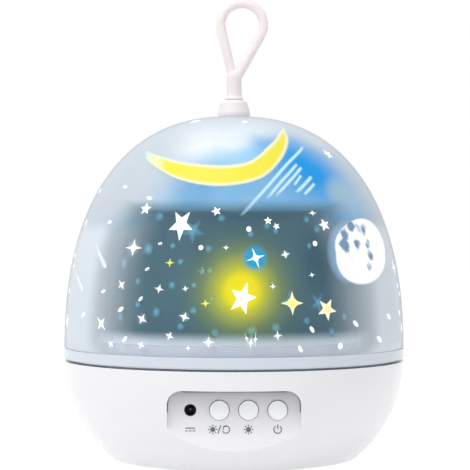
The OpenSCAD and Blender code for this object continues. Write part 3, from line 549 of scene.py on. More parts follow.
RIM_RINGS = 5200.0              # turn of the rim's faint rings, in radians for each metre of height
CELL_CAP = (0.0215, 0.0216)     # where the cells' sleeve ends and their metal starts, from the middle
CELL_BAND = (0.0120, 0.0122)    # where the sleeve's pale band starts


class NIGHTLIGHT_OT_base(bpy.types.Operator):
    """Finishes the white base, its door and feet, the turning rim and the buttons"""
    bl_idname = "night_light.base"
    bl_label = "Base and rim"

    def execute(self, context):
        shell = settings("shell")
        dress(make_finish("Housing white", self.housing, shell), "base_shell", "battery_door")
        dress(simple_finish("Button white", colour(244, 245, 247), colour(249, 249, 250), amount=0.4, rough=0.34,
                            smudge=0.08, grain=2600.0, bump=0.12, depth=0.00006, Coat_Weight=0.15,
                            Coat_Roughness=0.3),
              "button_mode", "button_brightness", "button_power")
        dress(simple_finish("Foot rubber", colour(66, 66, 68), colour(98, 97, 96), amount=0.35, drift=300.0,
                            rough=0.78, smudge=0.15, grain=3200.0, bump=0.35, depth=0.00012), "rubber_feet")
        dress(make_finish("Rim pale blue", self.rim, shell), "turntable")
        return {"FINISHED"}

    def housing(self, tree, shell):
        """Glossy white plastic with a painted shade on the flat panel, darker towards its upper edge under the
        overhang.
        """
        place = object_axes(tree)
        # The flat panel, where the shade under the overhang is painted: near its plane and a little past the recess's
        # edges
        off = calc(tree, "ABSOLUTE", calc(tree, "SUBTRACT", place["Y"], PANEL_Y))
        inside = calc(tree, "LESS_THAN", calc(tree, "ABSOLUTE", place["X"]), RECESS_HALF + 0.4 * MM)
        below = calc(tree, "LESS_THAN", place["Z"], RECESS_TOP + 0.3 * MM)
        flat = times(tree, calc(tree, "LESS_THAN", off, 0.2 * MM), times(tree, inside, below))
        # Painted shade of the overhang: the panel's colour darkens towards the recess's upper edge
        shade = ramp(tree, calc(tree, "DIVIDE", place["Z"], RECESS_TOP, clamp=True),
                     [(0.45, colour(238, 238, 240)), (0.65, colour(228, 228, 231)), (0.80, colour(214, 214, 217)),
                      (0.90, colour(190, 190, 193)), (0.97, colour(152, 152, 155)), (1.0, colour(130, 130, 133))])
        base = mix_colour(tree, flat, shell.white, shade)
        return textured(tree, base, colour(240, 240, 242), amount=0.3, rough=shell.rough, smudge=0.08, bump=0.06,
                        depth=0.00008, waviness=70.0, Coat_Weight=0.45, Coat_Roughness=0.12,
                        Subsurface_Weight=0.05, Subsurface_Scale=0.002)

    def rim(self, tree, shell):
        """Pale blue plastic with faint moulding rings."""
        wave = calc(tree, "SINE", times(tree, object_axes(tree)["Z"], RIM_RINGS))
        fine = fine_surface(tree, 1500.0, 120.0, 0.2, 0.1)
        high = calc(tree, "ADD", fine["Height"], times(tree, wave, 0.25))
        tone = drifting(tree, shell.rim, colour(217, 223, 232), 45.0, 0.5)
        return principled(tree, tone, fine["Roughness"], Normal=relief(tree, high, 0.12), Coat_Weight=0.15,
                          Coat_Roughness=0.1, Subsurface_Weight=0.15, Subsurface_Scale=0.003)


class NIGHTLIGHT_OT_inside(bpy.types.Operator):
    """Finishes the deck, the drive, the boards, the socket, the cells and the metal parts"""
    bl_idname = "night_light.inside"
    bl_label = "Works inside"

    def execute(self, context):
        # The inner white parts glow a little by emission: painted light of the lamp inside, seen in the gap under the
        # turning rim
        dress(simple_finish("Inner white painted glow", colour(226, 228, 230), colour(240, 240, 240), rough=0.5, smudge=0.12,
                            grain=2200.0, bump=0.2, depth=0.00008, Emission_Color=colour(226, 230, 236),
                            Emission_Strength=0.16),
              "top_deck", "lamp_post", "film_base_ring", "boss_nut", "switch_plunger_mode",
              "switch_plunger_brightness", "switch_plunger_power")
        dress(simple_finish("Gear nylon", colour(236, 232, 218), colour(222, 216, 198), rough=0.42, amount=0.5,
                            grain=2400.0, bump=0.15, Subsurface_Weight=0.2, Subsurface_Scale=0.001),
              "drive_gear", "drive_pinion", "turntable_hub")
        dress(simple_finish("Switch black", colour(34, 34, 36), colour(58, 58, 60), drift=400.0, rough=0.45,
                            smudge=0.15, grain=3000.0, bump=0.2), "dc_jack", "tact_switches")
        dress(simple_finish("Brass", colour(204, 172, 98), colour(168, 134, 70), drift=250.0, amount=0.5,
                            rough=0.3, smudge=0.3, grain=3500.0, bump=0.1, Metallic=1.0),
              "thrust_washer")
        dress(self.metal("Pin steel", colour(74, 72, 68), 0.4, 3000.0), "dc_jack_pin")
        dress(simple_finish("Board white", colour(236, 236, 232), colour(214, 214, 206), drift=500.0, rough=0.35,
                            Coat_Weight=0.4, Coat_Roughness=0.2), "led_board")
        dress(self.metal("Bright steel", colour(196, 198, 202), 0.22, 900.0),
              "deck_screws", "motor_screws", "board_screws", "battery_door_screws", "motor_shaft")
        dress(self.metal("Motor can", colour(178, 180, 182), 0.34, 2600.0), "rotation_motor")
        dress(self.metal("Spring steel", colour(188, 190, 192), 0.28, 1500.0),
              "battery_springs", "battery_plates", "retaining_clip")
        dress(make_finish("Board green", self.board), "control_board")
        dress(make_finish("Cell sleeve", self.sleeve), "battery_cells")
        return {"FINISHED"}

    def metal(self, name, tint, rough, lines):
        return make_finish(name, self.drawn_metal, tint, rough, lines)

    def drawn_metal(self, tree, tint, rough, lines):
        """Metal with fine drawn lines and darker smudges."""
        stretch = add(tree, "ShaderNodeMapping", {"Vector": object_place(tree), "Scale": (1, 1, 0.06)})
        drawn = noise(tree, lines, 3.0, Vector=stretch.outputs[0])
        fine = fine_surface(tree, lines, 200.0, rough, 0.25)
        tone = drifting(tree, tint, colour(140, 140, 144), 180.0, 0.4)
        return principled(tree, tone, fine["Roughness"], Normal=relief(tree, drawn, 0.15, 0.00005), Metallic=1.0)

    def board(self, tree):
        """Green solder mask over darker copper tracks."""
        tracks = add(tree, "ShaderNodeTexBrick", {"Vector": object_place(tree), "Scale": 260.0,
                                                  "Color1": (1, 1, 1, 1), "Color2": (0.9, 0.9, 0.9, 1),
                                                  "Mortar": (0, 0, 0, 1), "Mortar Size": 0.03}).outputs["Fac"]
        tone = mix_colour(tree, tracks, colour(22, 98, 62), colour(60, 132, 84))
        fine = fine_surface(tree, 2000.0, 300.0, 0.3, 0.1)
        return principled(tree, tone, fine["Roughness"], Normal=relief(tree, tracks, 0.3, 0.00004),
                          Coat_Weight=0.5, Coat_Roughness=0.2)

    def sleeve(self, tree):
        """Dark sleeve with a pale band at one end of each cell and bare metal at the caps."""
        across = object_axes(tree)["X"]
        cap = add(tree, "ShaderNodeMapRange", {"Value": calc(tree, "ABSOLUTE", across),
                                               "From Min": CELL_CAP[0], "From Max": CELL_CAP[1]}).outputs[0]
        band = add(tree, "ShaderNodeMapRange", {"Value": across, "From Min": CELL_BAND[0],
                                                "From Max": CELL_BAND[1]}).outputs[0]
        paper = mix_colour(tree, band, colour(44, 52, 70), colour(150, 156, 168))
        tone = mix_colour(tree, cap, drifting(tree, paper, colour(92, 98, 112), 220.0, 0.25),
                          colour(196, 198, 202))
        return moulded(tree, tone, 1800.0, 150.0, 0.3, 0.15, 0.08, 0.00008, Metallic=cap, Coat_Weight=0.3)


class NIGHTLIGHT_OT_light(bpy.types.Operator):
    """Finishes the lights and the clear cap over them"""
    bl_idname = "night_light.light"
    bl_label = "Lights and lens"

    def execute(self, context):
        dress(make_finish("Light resin", self.resin), "leds")
        dress(make_finish("Lens clear", self.lens), "lamp_lens")
        return {"FINISHED"}

    def resin(self, tree):
        """Lit resin, paler towards the tops of the lights."""
        glow = mix_colour(tree, height_step(tree, 0.0565, 0.0605), colour(255, 214, 130), colour(255, 244, 206))
        return moulded(tree, glow, 1500.0, 250.0, 0.2, 0.1, 0.05, Emission_Color=glow, Emission_Strength=2.5,
                       Subsurface_Weight=0.3, Subsurface_Scale=0.002)

    def lens(self, tree):
        """Clear moulding that catches the warm light under its round top."""
        tone = mix_colour(tree, height_step(tree, 0.054, 0.066), colour(236, 240, 244), colour(255, 247, 214))
        body = moulded(tree, tone, 1200.0, 220.0, 0.1, 0.06, 0.04, Emission_Color=tone, Emission_Strength=0.15,
                       Coat_Weight=0.5)
        facing = add(tree, "ShaderNodeLayerWeight", {"Blend": 0.4}).outputs["Facing"]
        share = shade_ramp(tree, facing, [(0.0, 0.3), (0.5, 0.5), (1.0, 0.95)])
        return mix_shader(tree, share, see_through(tree), body)


# ---------------------------------------------------------------- signs on the panel

# The dark line under the recess's upper edge: a thin gap with its shadow painted in as a dark ribbon
GAP_SHADOW_HALF = 17                  # half the length of its straight part, in millimetres
GAP_SHADOW_DROP = 0.52 * MM           # from the recess's upper edge to its middle
GAP_SHADOW_WIDTH = 0.95 * MM
GAP_SHADOW_CORNER = 0.24 * MM         # its width round the recess's corners
GAP_SHADOW_INSET = 0.2 * MM           # how far inside the corners it runs
GAP_SHADOW_TAIL = 2.5 * MM            # its length below them

class NIGHTLIGHT_OT_signs(bpy.types.Operator):
    """Prints the generic signs under the socket and the buttons"""
    bl_idname = "night_light.signs"
    bl_label = "Panel signs"

    def execute(self, context):
        panel = settings("panel")
        self.line = panel.line
        self.row = panel.height
        bm = bmesh.new()
        self.direct_current(bm, SOCKET_X)
        mode, brightness, power = BUTTON_XS
        self.sun(bm, mode - 2.15 * MM, 0.85 * MM, 1.55 * MM)
        self.stroke(bm, [(mode - 0.45 * MM, -1.4 * MM), (mode + 0.45 * MM, 1.4 * MM)])
        self.turn_arrow(bm, mode + 2.15 * MM, 1.2 * MM)
        self.sun(bm, brightness, 0.85 * MM, 1.6 * MM)
        self.power(bm, power, 1.25 * MM)
        self.seam()
        material = simple_finish("Sign ink", panel.ink, colour(120, 121, 124), drift=900.0, amount=0.5, rough=0.6,
                                 smudge=0.1, grain=4000.0, bump=0.2, depth=0.00003)
        finish_piece("panel_signs", bm, material, "base", smooth=False)
        return {"FINISHED"}

    def seam(self):
        """The dark line under the recess's upper edge, a thin gap with its shadow painted in, thinner down its round
        corners.
        """
        bm = bmesh.new()
        rise = RECESS_TOP - self.row
        self.stroke(bm, [(x * MM, rise - GAP_SHADOW_DROP) for x in range(-GAP_SHADOW_HALF, GAP_SHADOW_HALF + 1)], width=GAP_SHADOW_WIDTH)
        radius = RECESS_CORNER - GAP_SHADOW_INSET
        for side in (-1, 1):
            corner = [(side * (RECESS_HALF - RECESS_CORNER + radius * math.cos(turn)),
                       rise - RECESS_CORNER + radius * math.sin(turn))
                      for turn in (math.radians(10 * k) for k in range(10))]
            self.stroke(bm, [(corner[0][0], corner[0][1] - GAP_SHADOW_TAIL)] + corner, width=GAP_SHADOW_CORNER)
        material = simple_finish("Gap shadow grey", colour(92, 93, 97), colour(118, 119, 122), drift=300.0, rough=0.7,
                                 grain=3000.0, bump=0.2, depth=0.00003)
        finish_piece("panel_gap_shadow", bm, material, "base", smooth=False)

    def stroke(self, bm, points, closed=False, width=None):
        """A thin ribbon along points given as X and height over the row's middle."""
        half = (width or self.line) / 2
        count = len(points)
        steps = count if closed else count - 1
        made = bmesh.ops.create_grid(bm, x_segments=steps, y_segments=1, size=0.5)["verts"]
        for vert in made:
            k = round((vert.co.x + 0.5) * steps)
            side = 1 if vert.co.y > 0 else -1
            here = Vector(points[k % count])
            before = Vector(points[(k - 1) % count if closed else max(k - 1, 0)])
            after = Vector(points[(k + 1) % count if closed else min(k + 1, count - 1)])
            along = (after - before).normalized()
            across = Vector((-along.y, along.x)) * side * half
            vert.co = Vector((here.x + across.x, PANEL_Y - SIGN_GAP, self.row + here.y + across.y))
        if closed:
            bmesh.ops.remove_doubles(bm, verts=made, dist=1e-6)
            made = [vert for vert in made if vert.is_valid]
        back_sheet(bm, made, SIGN_THICKNESS, Vector((0, 0, self.row)))

    def arc(self, x, radius, start, end, steps):
        """Points round an arc, its angles in degrees from the upright."""
        turns = [math.radians(start + (end - start) * k / steps) for k in range(steps + 1)]
        return [(x + radius * math.sin(turn), radius * math.cos(turn)) for turn in turns]

    def sun(self, bm, x, inner, outer):
        """A filled disc with eight rays: light."""
        self.stroke(bm, self.arc(x, inner / 2, 0, 360 - 360 / 20, 19), closed=True, width=0.9 * inner)
        for k in range(8):
            turn = math.radians(45 * k)
            self.stroke(bm, [(x + r * math.sin(turn), r * math.cos(turn)) for r in (inner + 0.15 * MM, outer)])

    def turn_arrow(self, bm, x, radius):
        """An open circle with an arrow head: rotation."""
        self.stroke(bm, self.arc(x, radius, -40, 250, 18))
        tip = Vector(self.arc(x, radius, -40, -40, 1)[0])
        self.stroke(bm, [(tip.x - 0.15 * MM, tip.y - 0.95 * MM), tuple(tip), (tip.x + 0.95 * MM, tip.y + 0.1 * MM)])

    def power(self, bm, x, radius):
        """A circle open at its top with an upright stroke: on and off."""
        self.stroke(bm, self.arc(x, radius, 32, 328, 20))
        self.stroke(bm, [(x, 0.2 * MM), (x, radius + 0.35 * MM)])

    def direct_current(self, bm, x):
        """A bar over three dashes: direct current."""
        self.stroke(bm, [(x - 1.6 * MM, 0.45 * MM), (x + 1.6 * MM, 0.45 * MM)])
        for k in (-1, 0, 1):
            middle = x + k * 1.2 * MM
            self.stroke(bm, [(middle - 0.4 * MM, -0.45 * MM), (middle + 0.4 * MM, -0.45 * MM)])


# ---------------------------------------------------------------- film

STAR_GLOW = Vector((0.0026, -0.0462, 0.0606))      # on the film, behind the bright star
CYAN_GLOW = Vector((0.0070, -0.0448, 0.0714))      # behind the blue sparkle
STAR_GLOW_REACH = 0.0232
FILM_LIGHT = 0.22           # how strongly the film glows by itself
# The draw of the blurred spots away from the front, in degrees and millimetres
MORE_GHOSTS = 46
GHOST_FIRST, GHOST_SPAN = 68, 224
GHOST_HEIGHTS = (46, 86)
GHOST_RADII = (1.1, 2.2)
GHOST_SPREAD = 1.15         # how far a spot's soft edge stands out, against its radius

# Blurred blue spots, painted reflections that the stars throw on the film: azimuth, height, radius in millimetres
FILM_GHOSTS = [
    (-34.4, 85.3, 1.9), (-5.4, 84.6, 1.5), (-39.6, 74.4, 2.4), (-26.9, 75.4, 1.2),
    (-10.7, 74.5, 1.5), (-22.9, 70.1, 1.2), (-10.0, 67.3, 1.3), (-55.2, 69.3, 2.1), (-44.5, 63.4, 1.3),
    (-26.4, 62.4, 1.5), (-16.5, 62.5, 1.1), (-8.9, 58.1, 1.2), (-43.5, 55.8, 1.5), (-33.2, 53.4, 1.8),
    (-16.4, 54.1, 1.4), (-54.4, 51.4, 1.9), (-21.7, 48.9, 1.5), (-7.5, 46.9, 1.6), (7.1, 79.3, 1.3),
    (14.3, 82.0, 1.3), (18.1, 80.3, 1.2), (33.4, 84.2, 1.5), (38.9, 81.0, 1.8), (33.9, 75.4, 1.4),
    (15.8, 63.2, 1.1), (30.5, 50.5, 1.4), (51.9, 51.3, 1.5), (17.0, 48.5, 1.8), (7.1, 47.5, 2.3),
    (43.2, 46.5, 1.7),
]
# Blurred stars of painted reflection on the film: azimuth, height, reach, kind, turn
FILM_GHOST_STARS = [(-17.9, 80.4, 5.2, "star5", 180), (-13.0, 67.0, 2.4, "star5", 10),
                    (23.3, 56.9, 5.0, "fat4", 0), (37.0, 56.3, 4.5, "star5", -30)]


class NIGHTLIGHT_OT_film(bpy.types.Operator):
    """Prints the night film and its light cap, and lays the blurred spots on the film"""
    bl_idname = "night_light.film"
    bl_label = "Film"

    def execute(self, context):
        film = settings("film")
        dress(make_finish("Film night", self.night_band, film), "film_band")
        dress(make_finish("Film ring", self.ring, film), "film_top_ring")
        dress(make_finish("Film sky", self.sky_cap), "film_cap")
        self.ghosts(film)
        return {"FINISHED"}

    def night_tone(self, tree, film):
        return drifting(tree, film.night, colour(82, 114, 128), 32.0, 0.6)

    def night_band(self, tree, film):
        """Dark blue film, pale at its foot, lit yellow and blue behind two stars."""
        near = distance_from(tree, STAR_GLOW, STAR_GLOW_REACH)
        halo = ramp(tree, near, [(0.0, colour(238, 224, 0)), (0.22, colour(228, 214, 0)),
                                 (0.32, colour(184, 186, 44)), (0.43, colour(146, 158, 72)),
                                 (0.58, colour(112, 132, 80)), (0.8, colour(80, 110, 92))])
        share = shade_ramp(tree, near, [(0.45, 1.0), (0.7, 0.6), (1.0, 0.0)])
        base = mix_colour(tree, share, self.night_tone(tree, film), halo)
        base = mix_colour(tree, soft_spot(tree, CYAN_GLOW, 0.0024, 0.0050), base, colour(0, 154, 200))
        dark = height_step(tree, 0.0430, 0.0474)
        pale = mix_colour(tree, height_step(tree, 0.040, 0.046), colour(222, 229, 238), colour(196, 208, 216))
        base = mix_colour(tree, dark, pale, base)
        ink = moulded(tree, base, 1400.0, 60.0, 0.4, 0.1, 0.05, Emission_Color=base, Emission_Strength=FILM_LIGHT)
        cover = add(tree, "ShaderNodeMapRange", {"Value": dark, "To Min": 0.93, "To Max": 0.98}).outputs[0]
        return mix_shader(tree, cover, see_through(tree), ink)

    def ring(self, tree, film):
        """The film's upper ring, in the film's own night colour."""
        tone = self.night_tone(tree, film)
        return moulded(tree, tone, 1600.0, 80.0, 0.4, 0.1, 0.1, Emission_Color=tone, Emission_Strength=FILM_LIGHT)

    def sky_cap(self, tree):
        """Light sky with soft clouds and a deeper blue to the right of the crescent."""
        puffs = shade_ramp(tree, noise(tree, 38.0, 3.0), [(0.40, 0.0), (0.62, 1.0)])
        base = mix_colour(tree, puffs, colour(122, 186, 232), colour(232, 240, 247))
        deep = soft_spot(tree, Vector((0.026, -0.028, 0.101)), 0.006, 0.026)
        base = mix_colour(tree, deep, base, colour(60, 168, 230))
        pale = soft_spot(tree, Vector((-0.020, -0.026, 0.106)), 0.010, 0.034)
        base = mix_colour(tree, pale, base, colour(236, 241, 247))
        # A faint emission: painted glow of the lamp behind the cap
        return moulded(tree, base, 1400.0, 60.0, 0.4, 0.1, 0.05, Emission_Color=base, Emission_Strength=0.08)

    def ghosts(self, film):
        """Soft-edged spots and stars of painted reflection, and more spots round the side away from the panel."""
        bm, glow = glowing_mesh()
        chance = random.Random(3)
        spots = list(FILM_GHOSTS)
        for k in range(MORE_GHOSTS):
            azimuth = GHOST_FIRST + GHOST_SPAN * (k + chance.random() * 0.8) / MORE_GHOSTS
            spots.append((azimuth, chance.uniform(*GHOST_HEIGHTS), chance.uniform(*GHOST_RADII)))
        for azimuth, height, radius in spots:
            spot = disc(bm, radius * GHOST_SPREAD * MM, 4, 14, glow)
            lay_on_film(bm, spot, azimuth, height, film.ghost_lift)
        for azimuth, height, reach, kind, turn in FILM_GHOST_STARS:
            made = flat_shape(bm, kind, reach * MM, turn)
            for vert in made:
                vert[glow] = 0.2 if vert.co.length > 0.1 * MM else 1.0
            lay_on_film(bm, made, azimuth, height, film.ghost_lift)
        finish_piece("film_spots", bm, make_finish("Blue spot", self.spot_ink), "turntable")

    def spot_ink(self, tree):
        tone = speckled(tree, 500.0, colour(112, 178, 200), colour(122, 190, 212))
        # The spots near the bright star take on the warm tint of its painted glow
        tone = mix_colour(tree, soft_spot(tree, STAR_GLOW, 0.008, 0.021), tone, colour(172, 200, 136))
        return soft_ink(tree, tone, [(0.0, 0.0), (0.3, 0.12), (0.6, 0.36), (1.0, 0.62)], 0.2)


# ---------------------------------------------------------------- dome

# Clouds and deeper sky printed high on the dome, and one painted highlight: centre, core and reach in millimetres,
# colour
SKY_SPOTS = [
    ((25.5, -33, 102), 5, 21, (20, 148, 224)), ((2, -40, 105), 1, 13, (150, 198, 232)),
    ((-13, -45, 92), 4, 12, (104, 162, 204)), ((34, -32, 91), 3, 9.5, (158, 190, 210)),
    ((0, -34, 111), 3, 9, (212, 225, 237)),
    # The first spot on this line is a painted highlight of the light above, not a cloud
    ((-14, -28, 112), 7, 22, (228, 235, 242)), ((-37, -27, 99), 12, 32, (190, 200, 209)),
    ((5, -20, 117.5), 7, 18, (228, 238, 246)), ((27, -12, 116), 4, 18, (208, 226, 240)),
    ((0, -5, 122), 10, 20, (206, 214, 222)),
]


class NIGHTLIGHT_OT_dome(bpy.types.Operator):
    """Spins the clear dome and gives it its frost"""
    bl_idname = "night_light.dome"
    bl_label = "Clear dome"

    def execute(self, context):
        dome = settings("dome")
        bm = bmesh.new()
        verts = [bm.verts.new(point) for point in self.outline()]
        edges = [bm.edges.new((verts[k], verts[(k + 1) % len(verts)])) for k in range(len(verts))]
        bmesh.ops.spin(bm, geom=verts + edges, cent=(0, 0, 0), axis=(0, 0, 1), angle=2 * math.pi,
                       steps=dome.steps, use_merge=True, dvec=(0, 0, 0))
        bmesh.ops.recalc_face_normals(bm, faces=bm.faces)
        for turn in (90, 210, 330):
            self.key(bm, turn)
        finish_piece("dome_shell", bm, make_finish("Dome clear", self.frost, dome), "dome",
                     ("dome_cover",))
        return {"FINISHED"}

    def outline(self):
        """The dome's section, from its lower edge up the outside and down the inside."""
        def side(inset, low_z, count):
            rise = DOME_RISE - inset
            start = math.asin(((low_z - DOME_Z) / rise) ** (DOME_POWER / 2))
            stop = math.acos((DOME_HOLE_R / (DOME_R - inset)) ** (DOME_POWER / 2))
            return [Vector(((DOME_R - inset) * math.cos(t) ** (2 / DOME_POWER), 0,
                            DOME_Z + rise * math.sin(t) ** (2 / DOME_POWER)))
                    for t in (start + (stop - start) * k / count for k in range(count + 1))]
        soft = 0.35 * MM
        outer = side(0.0, DOME_EDGE_Z + soft, 56)
        inner = side(DOME_WALL, DOME_EDGE_Z + soft, 56)
        foot_out = Vector((outer[0].x - soft, 0, DOME_EDGE_Z))
        foot_in = Vector((inner[0].x + soft, 0, DOME_EDGE_Z))
        return [foot_in, foot_out] + outer + inner[::-1]

    def key(self, bm, turn):
        """One of the blocks inside that fit the turntable's slots."""
        made = bmesh.ops.create_cube(bm, size=1.0)["verts"]
        bmesh.ops.scale(bm, vec=KEY_SIZE, verts=made)
        bmesh.ops.translate(bm, vec=(KEY_REACH, 0, DOME_EDGE_Z + KEY_SIZE[2] / 2), verts=made)
        bmesh.ops.rotate(bm, cent=(0, 0, 0), matrix=Matrix.Rotation(math.radians(turn), 3, "Z"), verts=made)
        edges = list({edge for vert in made for edge in vert.link_edges})
        bmesh.ops.bevel(bm, geom=edges, offset=0.25 * MM, affect="EDGES", segments=2, profile=0.5, material=-1)

    def frost(self, tree, dome):
        """Clear plastic: see-through where it faces the eye, milky towards its edges, blue high up."""
        facing = add(tree, "ShaderNodeLayerWeight", {"Blend": 0.5}).outputs["Facing"]
        cloud = noise(tree, 26.0, 4.0)
        fine = fine_surface(tree, 900.0, 45.0, 0.42, 0.06)
        normal = relief(tree, fine["Height"], 0.03)
        milk = principled(tree, self.milk_tone(tree, dome, facing, cloud), fine["Roughness"], Normal=normal,
                          Coat_Weight=0.04, Coat_Roughness=0.3, Specular_IOR_Level=0.12)

        veil = shade_ramp(tree, facing, [(0.0, 0.0), (0.155, 0.0), (0.20, 0.06), (0.26, 0.22), (0.32, 0.43),
                                         (0.36, 0.63), (0.40, 0.80), (0.45, 0.92), (0.53, 1.0)], "CARDINAL")
        veil = calc(tree, "MULTIPLY", veil, calc(tree, "ADD", times(tree, cloud, 0.2), 0.9), clamp=True)
        cover = calc(tree, "MAXIMUM", veil, times(tree, height_step(tree, 0.0850, 0.0915), 0.92))
        back = add(tree, "ShaderNodeNewGeometry").outputs["Backfacing"]
        rays = add(tree, "ShaderNodeLightPath").outputs
        light = calc(tree, "MAXIMUM", rays["Is Shadow Ray"], rays["Is Diffuse Ray"])
        thin = calc(tree, "MAXIMUM", times(tree, back, 0.9), times(tree, light, 0.7))
        share = times(tree, cover, calc(tree, "SUBTRACT", 1.0, thin))
        skin = mix_shader(tree, share, see_through(tree, (0.985, 0.99, 0.995, 1)), milk)

        gloss = add(tree, "ShaderNodeBsdfGlossy", {"Color": (1, 1, 1, 1), "Roughness": 0.25, "Normal": normal})
        edge = add(tree, "ShaderNodeFresnel", {"IOR": 1.25}).outputs[0]
        shine = times(tree, edge, calc(tree, "SUBTRACT", 0.2, times(tree, back, 0.2)))
        return mix_shader(tree, shine, skin, gloss.outputs[0])

    def milk_tone(self, tree, dome, facing, cloud):
        """Frosty grey low down and cloudy sky high up, with painted shade just inside the frost and a painted dark
        outline at the rim.
        """
        puffs = shade_ramp(tree, cloud, [(0.45, 0.0), (0.65, 1.0)])
        sky = mix_colour(tree, times(tree, puffs, 0.3), dome.sky, colour(206, 226, 242))
        for centre, core, reach, tint in SKY_SPOTS:
            sky = mix_colour(tree, soft_spot(tree, Vector(centre) * MM, core * MM, reach * MM), sky, colour(*tint))
        grey = shade_ramp(tree, facing, [(0.42, 0.0), (0.60, 0.5), (0.80, 0.85)], "CARDINAL")
        sky = mix_colour(tree, grey, sky, colour(194, 203, 212))
        # Painted shade: the milk darkens in a band just inside the frost, over the dark film behind
        dusk = shade_ramp(tree, facing, [(0.20, 0.0), (0.32, 0.55), (0.385, 1.0), (0.43, 0.8), (0.475, 0.35),
                                         (0.53, 0.0)], "CARDINAL")
        tint = mix_colour(tree, times(tree, dusk, 0.27), dome.frost, colour(0, 52, 76))
        tint = mix_colour(tree, height_step(tree, 0.0790, 0.0850), tint, sky)
        # Painted dark outline: the milk greys towards the silhouette
        rim = shade_ramp(tree, facing, [(0.80, 0.0), (1.0, 0.85)])
        return mix_colour(tree, rim, tint, colour(150, 158, 170))


# Printed stars of the front: azimuth, height, reach in millimetres, kind, turn in degrees
WHITE_PRINTS = [
    (-18.7, 82.4, 5.0, "tall5", 180), (-34.3, 87.6, 2.2, "star5", 0), (-6.3, 86.7, 1.7, "star5", 20),
    (-36.1, 74.8, 3.5, "spark4", 0), (-2.6, 74.9, 1.1, "spark4", 0), (-39.2, 62.6, 2.0, "spark4", -50),
    (-24.4, 61.5, 1.9, "spark4", -12), (-15.5, 61.7, 1.3, "spark4", 10), (-30.1, 51.7, 2.2, "spark4", -28),
    (-15.5, 52.6, 2.0, "spark4", -18), (-47.5, 49.6, 3.1, "spark4", -42), (-20.3, 46.4, 1.8, "spark4", -25),
    (-7.8, 44.6, 2.1, "spark4", 0), (12.0, 83.6, 1.45, "star5", 0), (14.8, 81.8, 1.25, "star5", 25),
    (29.6, 86.2, 1.7, "flat4", 0), (33.6, 82.3, 2.2, "star5", 15), (17.1, 72.7, 1.7, "spark4", 10),
    (25.9, 66.0, 1.4, "flat4", 10), (12.4, 62.4, 1.2, "spark4", 0), (13.6, 46.6, 1.8, "tall4", 5),
    (55.1, 106.6, 2.3, "star5", 10), (-40.9, 118.3, 2.0, "star5", 0),
    (3.9, 45.9, 2.0, "spike", 15), (5.2, 44.4, 2.6, "spike", -6), (6.6, 45.6, 2.4, "spike", -4),
    (-50.0, 95.2, 0.8, "oval", -12), (-34.0, 91.2, 0.8, "oval", -12), (-51.3, 83.3, 0.75, "oval", 0),
    (-25.6, 76.2, 0.5, "oval", 10), (-11.0, 74.9, 0.85, "dot", 0), (-29.4, 67.9, 0.55, "oval", 32),
    (-31.0, 58.2, 0.65, "oval", 45), (-38.7, 54.6, 0.85, "oval", 35), (-36.6, 44.9, 0.8, "oval", 45),
    (-58.4, 52.1, 0.8, "oval", 40), (5.1, 80.9, 0.9, "dot", 0), (28.4, 76.2, 0.9, "dot", 0),
    (25.0, 48.4, 0.8, "oval", -55), (42.2, 49.8, 0.95, "oval", -40), (61.5, 51.4, 1.0, "oval", -35),
    (54.3, 44.1, 1.1, "oval", -35), (9.6, 117.7, 1.0, "dot", 0), (-47.5, 60.3, 0.7, "oval", 20),
    (-14.2, 42.6, 1.0, "spark4", 0), (-30.2, 43.2, 1.6, "spark4", -20),
    (-42.5, 43.0, 1.4, "spark4", -35), (20.9, 42.2, 0.8, "oval", -60), (35.4, 42.7, 1.0, "dot", 0),
]
YELLOW_PRINTS = [(-21.3, 70.0, 1.8, "spark4", 0), (-8.9, 57.0, 1.8, "spark4", 5)]
PALE_PRINTS = [(18.6, 57.0, 3.9, "fat4", 0), (30.7, 54.8, 3.75, "star5", -30)]
BRIGHT_STAR = (2.7, 58.6, 5.0, "tall5", -17)
BLUE_SPARKLE = (7.1, 71.6, 3.5, "tall4", 17)
# Soft shine about the prints: azimuth, height and radius in millimetres
PRINT_HALOS = [
    (-36.1, 74.8, 3.2), (-47.5, 49.6, 3.2), (-7.8, 44.6, 2.4), (35.6, 43.4, 2.0), (-42.5, 43.0, 1.8),
    (5.2, 44.8, 2.6), (-34.3, 87.6, 2.2), (33.6, 82.3, 2.4), (-15.5, 52.6, 1.9), (-30.1, 51.7, 2.2),
    (-39.2, 62.6, 1.9), (17.1, 72.7, 1.6), (13.6, 46.6, 1.8), (-30.2, 43.2, 1.8), (-20.3, 46.4, 1.6),
]
# The draw of the stars round the sides and the back, in degrees and millimetres
DRAW_AZIMUTHS = (73, 287)
DRAW_OUTLINE = (77, 91)     # the outline as the camera sees it, left free
DRAW_LOW = 44
DRAW_RISE = 72
DRAW_REACHES = (0.8, 0.9, 1.1, 1.4, 1.7, 2.0, 2.4, 3.2)
DRAW_GAP = 1.6

MOON = (51.1, 74.0, 11.7, 1.30)     # azimuth, height, reach, and how much wider than tall
MOON_LEAN = 0.34                    # how far it leans back towards the upright, sideways for each rise
MOON_SHOULDER = 0.45                # how much fuller it is at its upper left
# Grey seas on the moon: centre, core and reach in millimetres
MOON_SEAS = [
    ((36.5, -42, 75.8), 0.8, 3.6), ((36.9, -41, 79), 0.6, 3.4), ((43, -34, 81), 1, 5),
    ((45.6, -33.5, 76.4), 0.5, 3), ((45.8, -33.5, 72), 0.5, 3), ((45.0, -35.8, 68.4), 0.6, 3.2),
    ((41, -37.7, 76.5), 0.5, 2.8), ((39.5, -38, 82), 0.6, 3.2),
]
# The moon's blur on the film is a painted reflection of the moon
MOON_BLUR = (57.0, 73.0, 11.2)      # azimuth, height and reach of the moon's blur on the film
MOON_BLUR_LIFT = 0.12 * MM

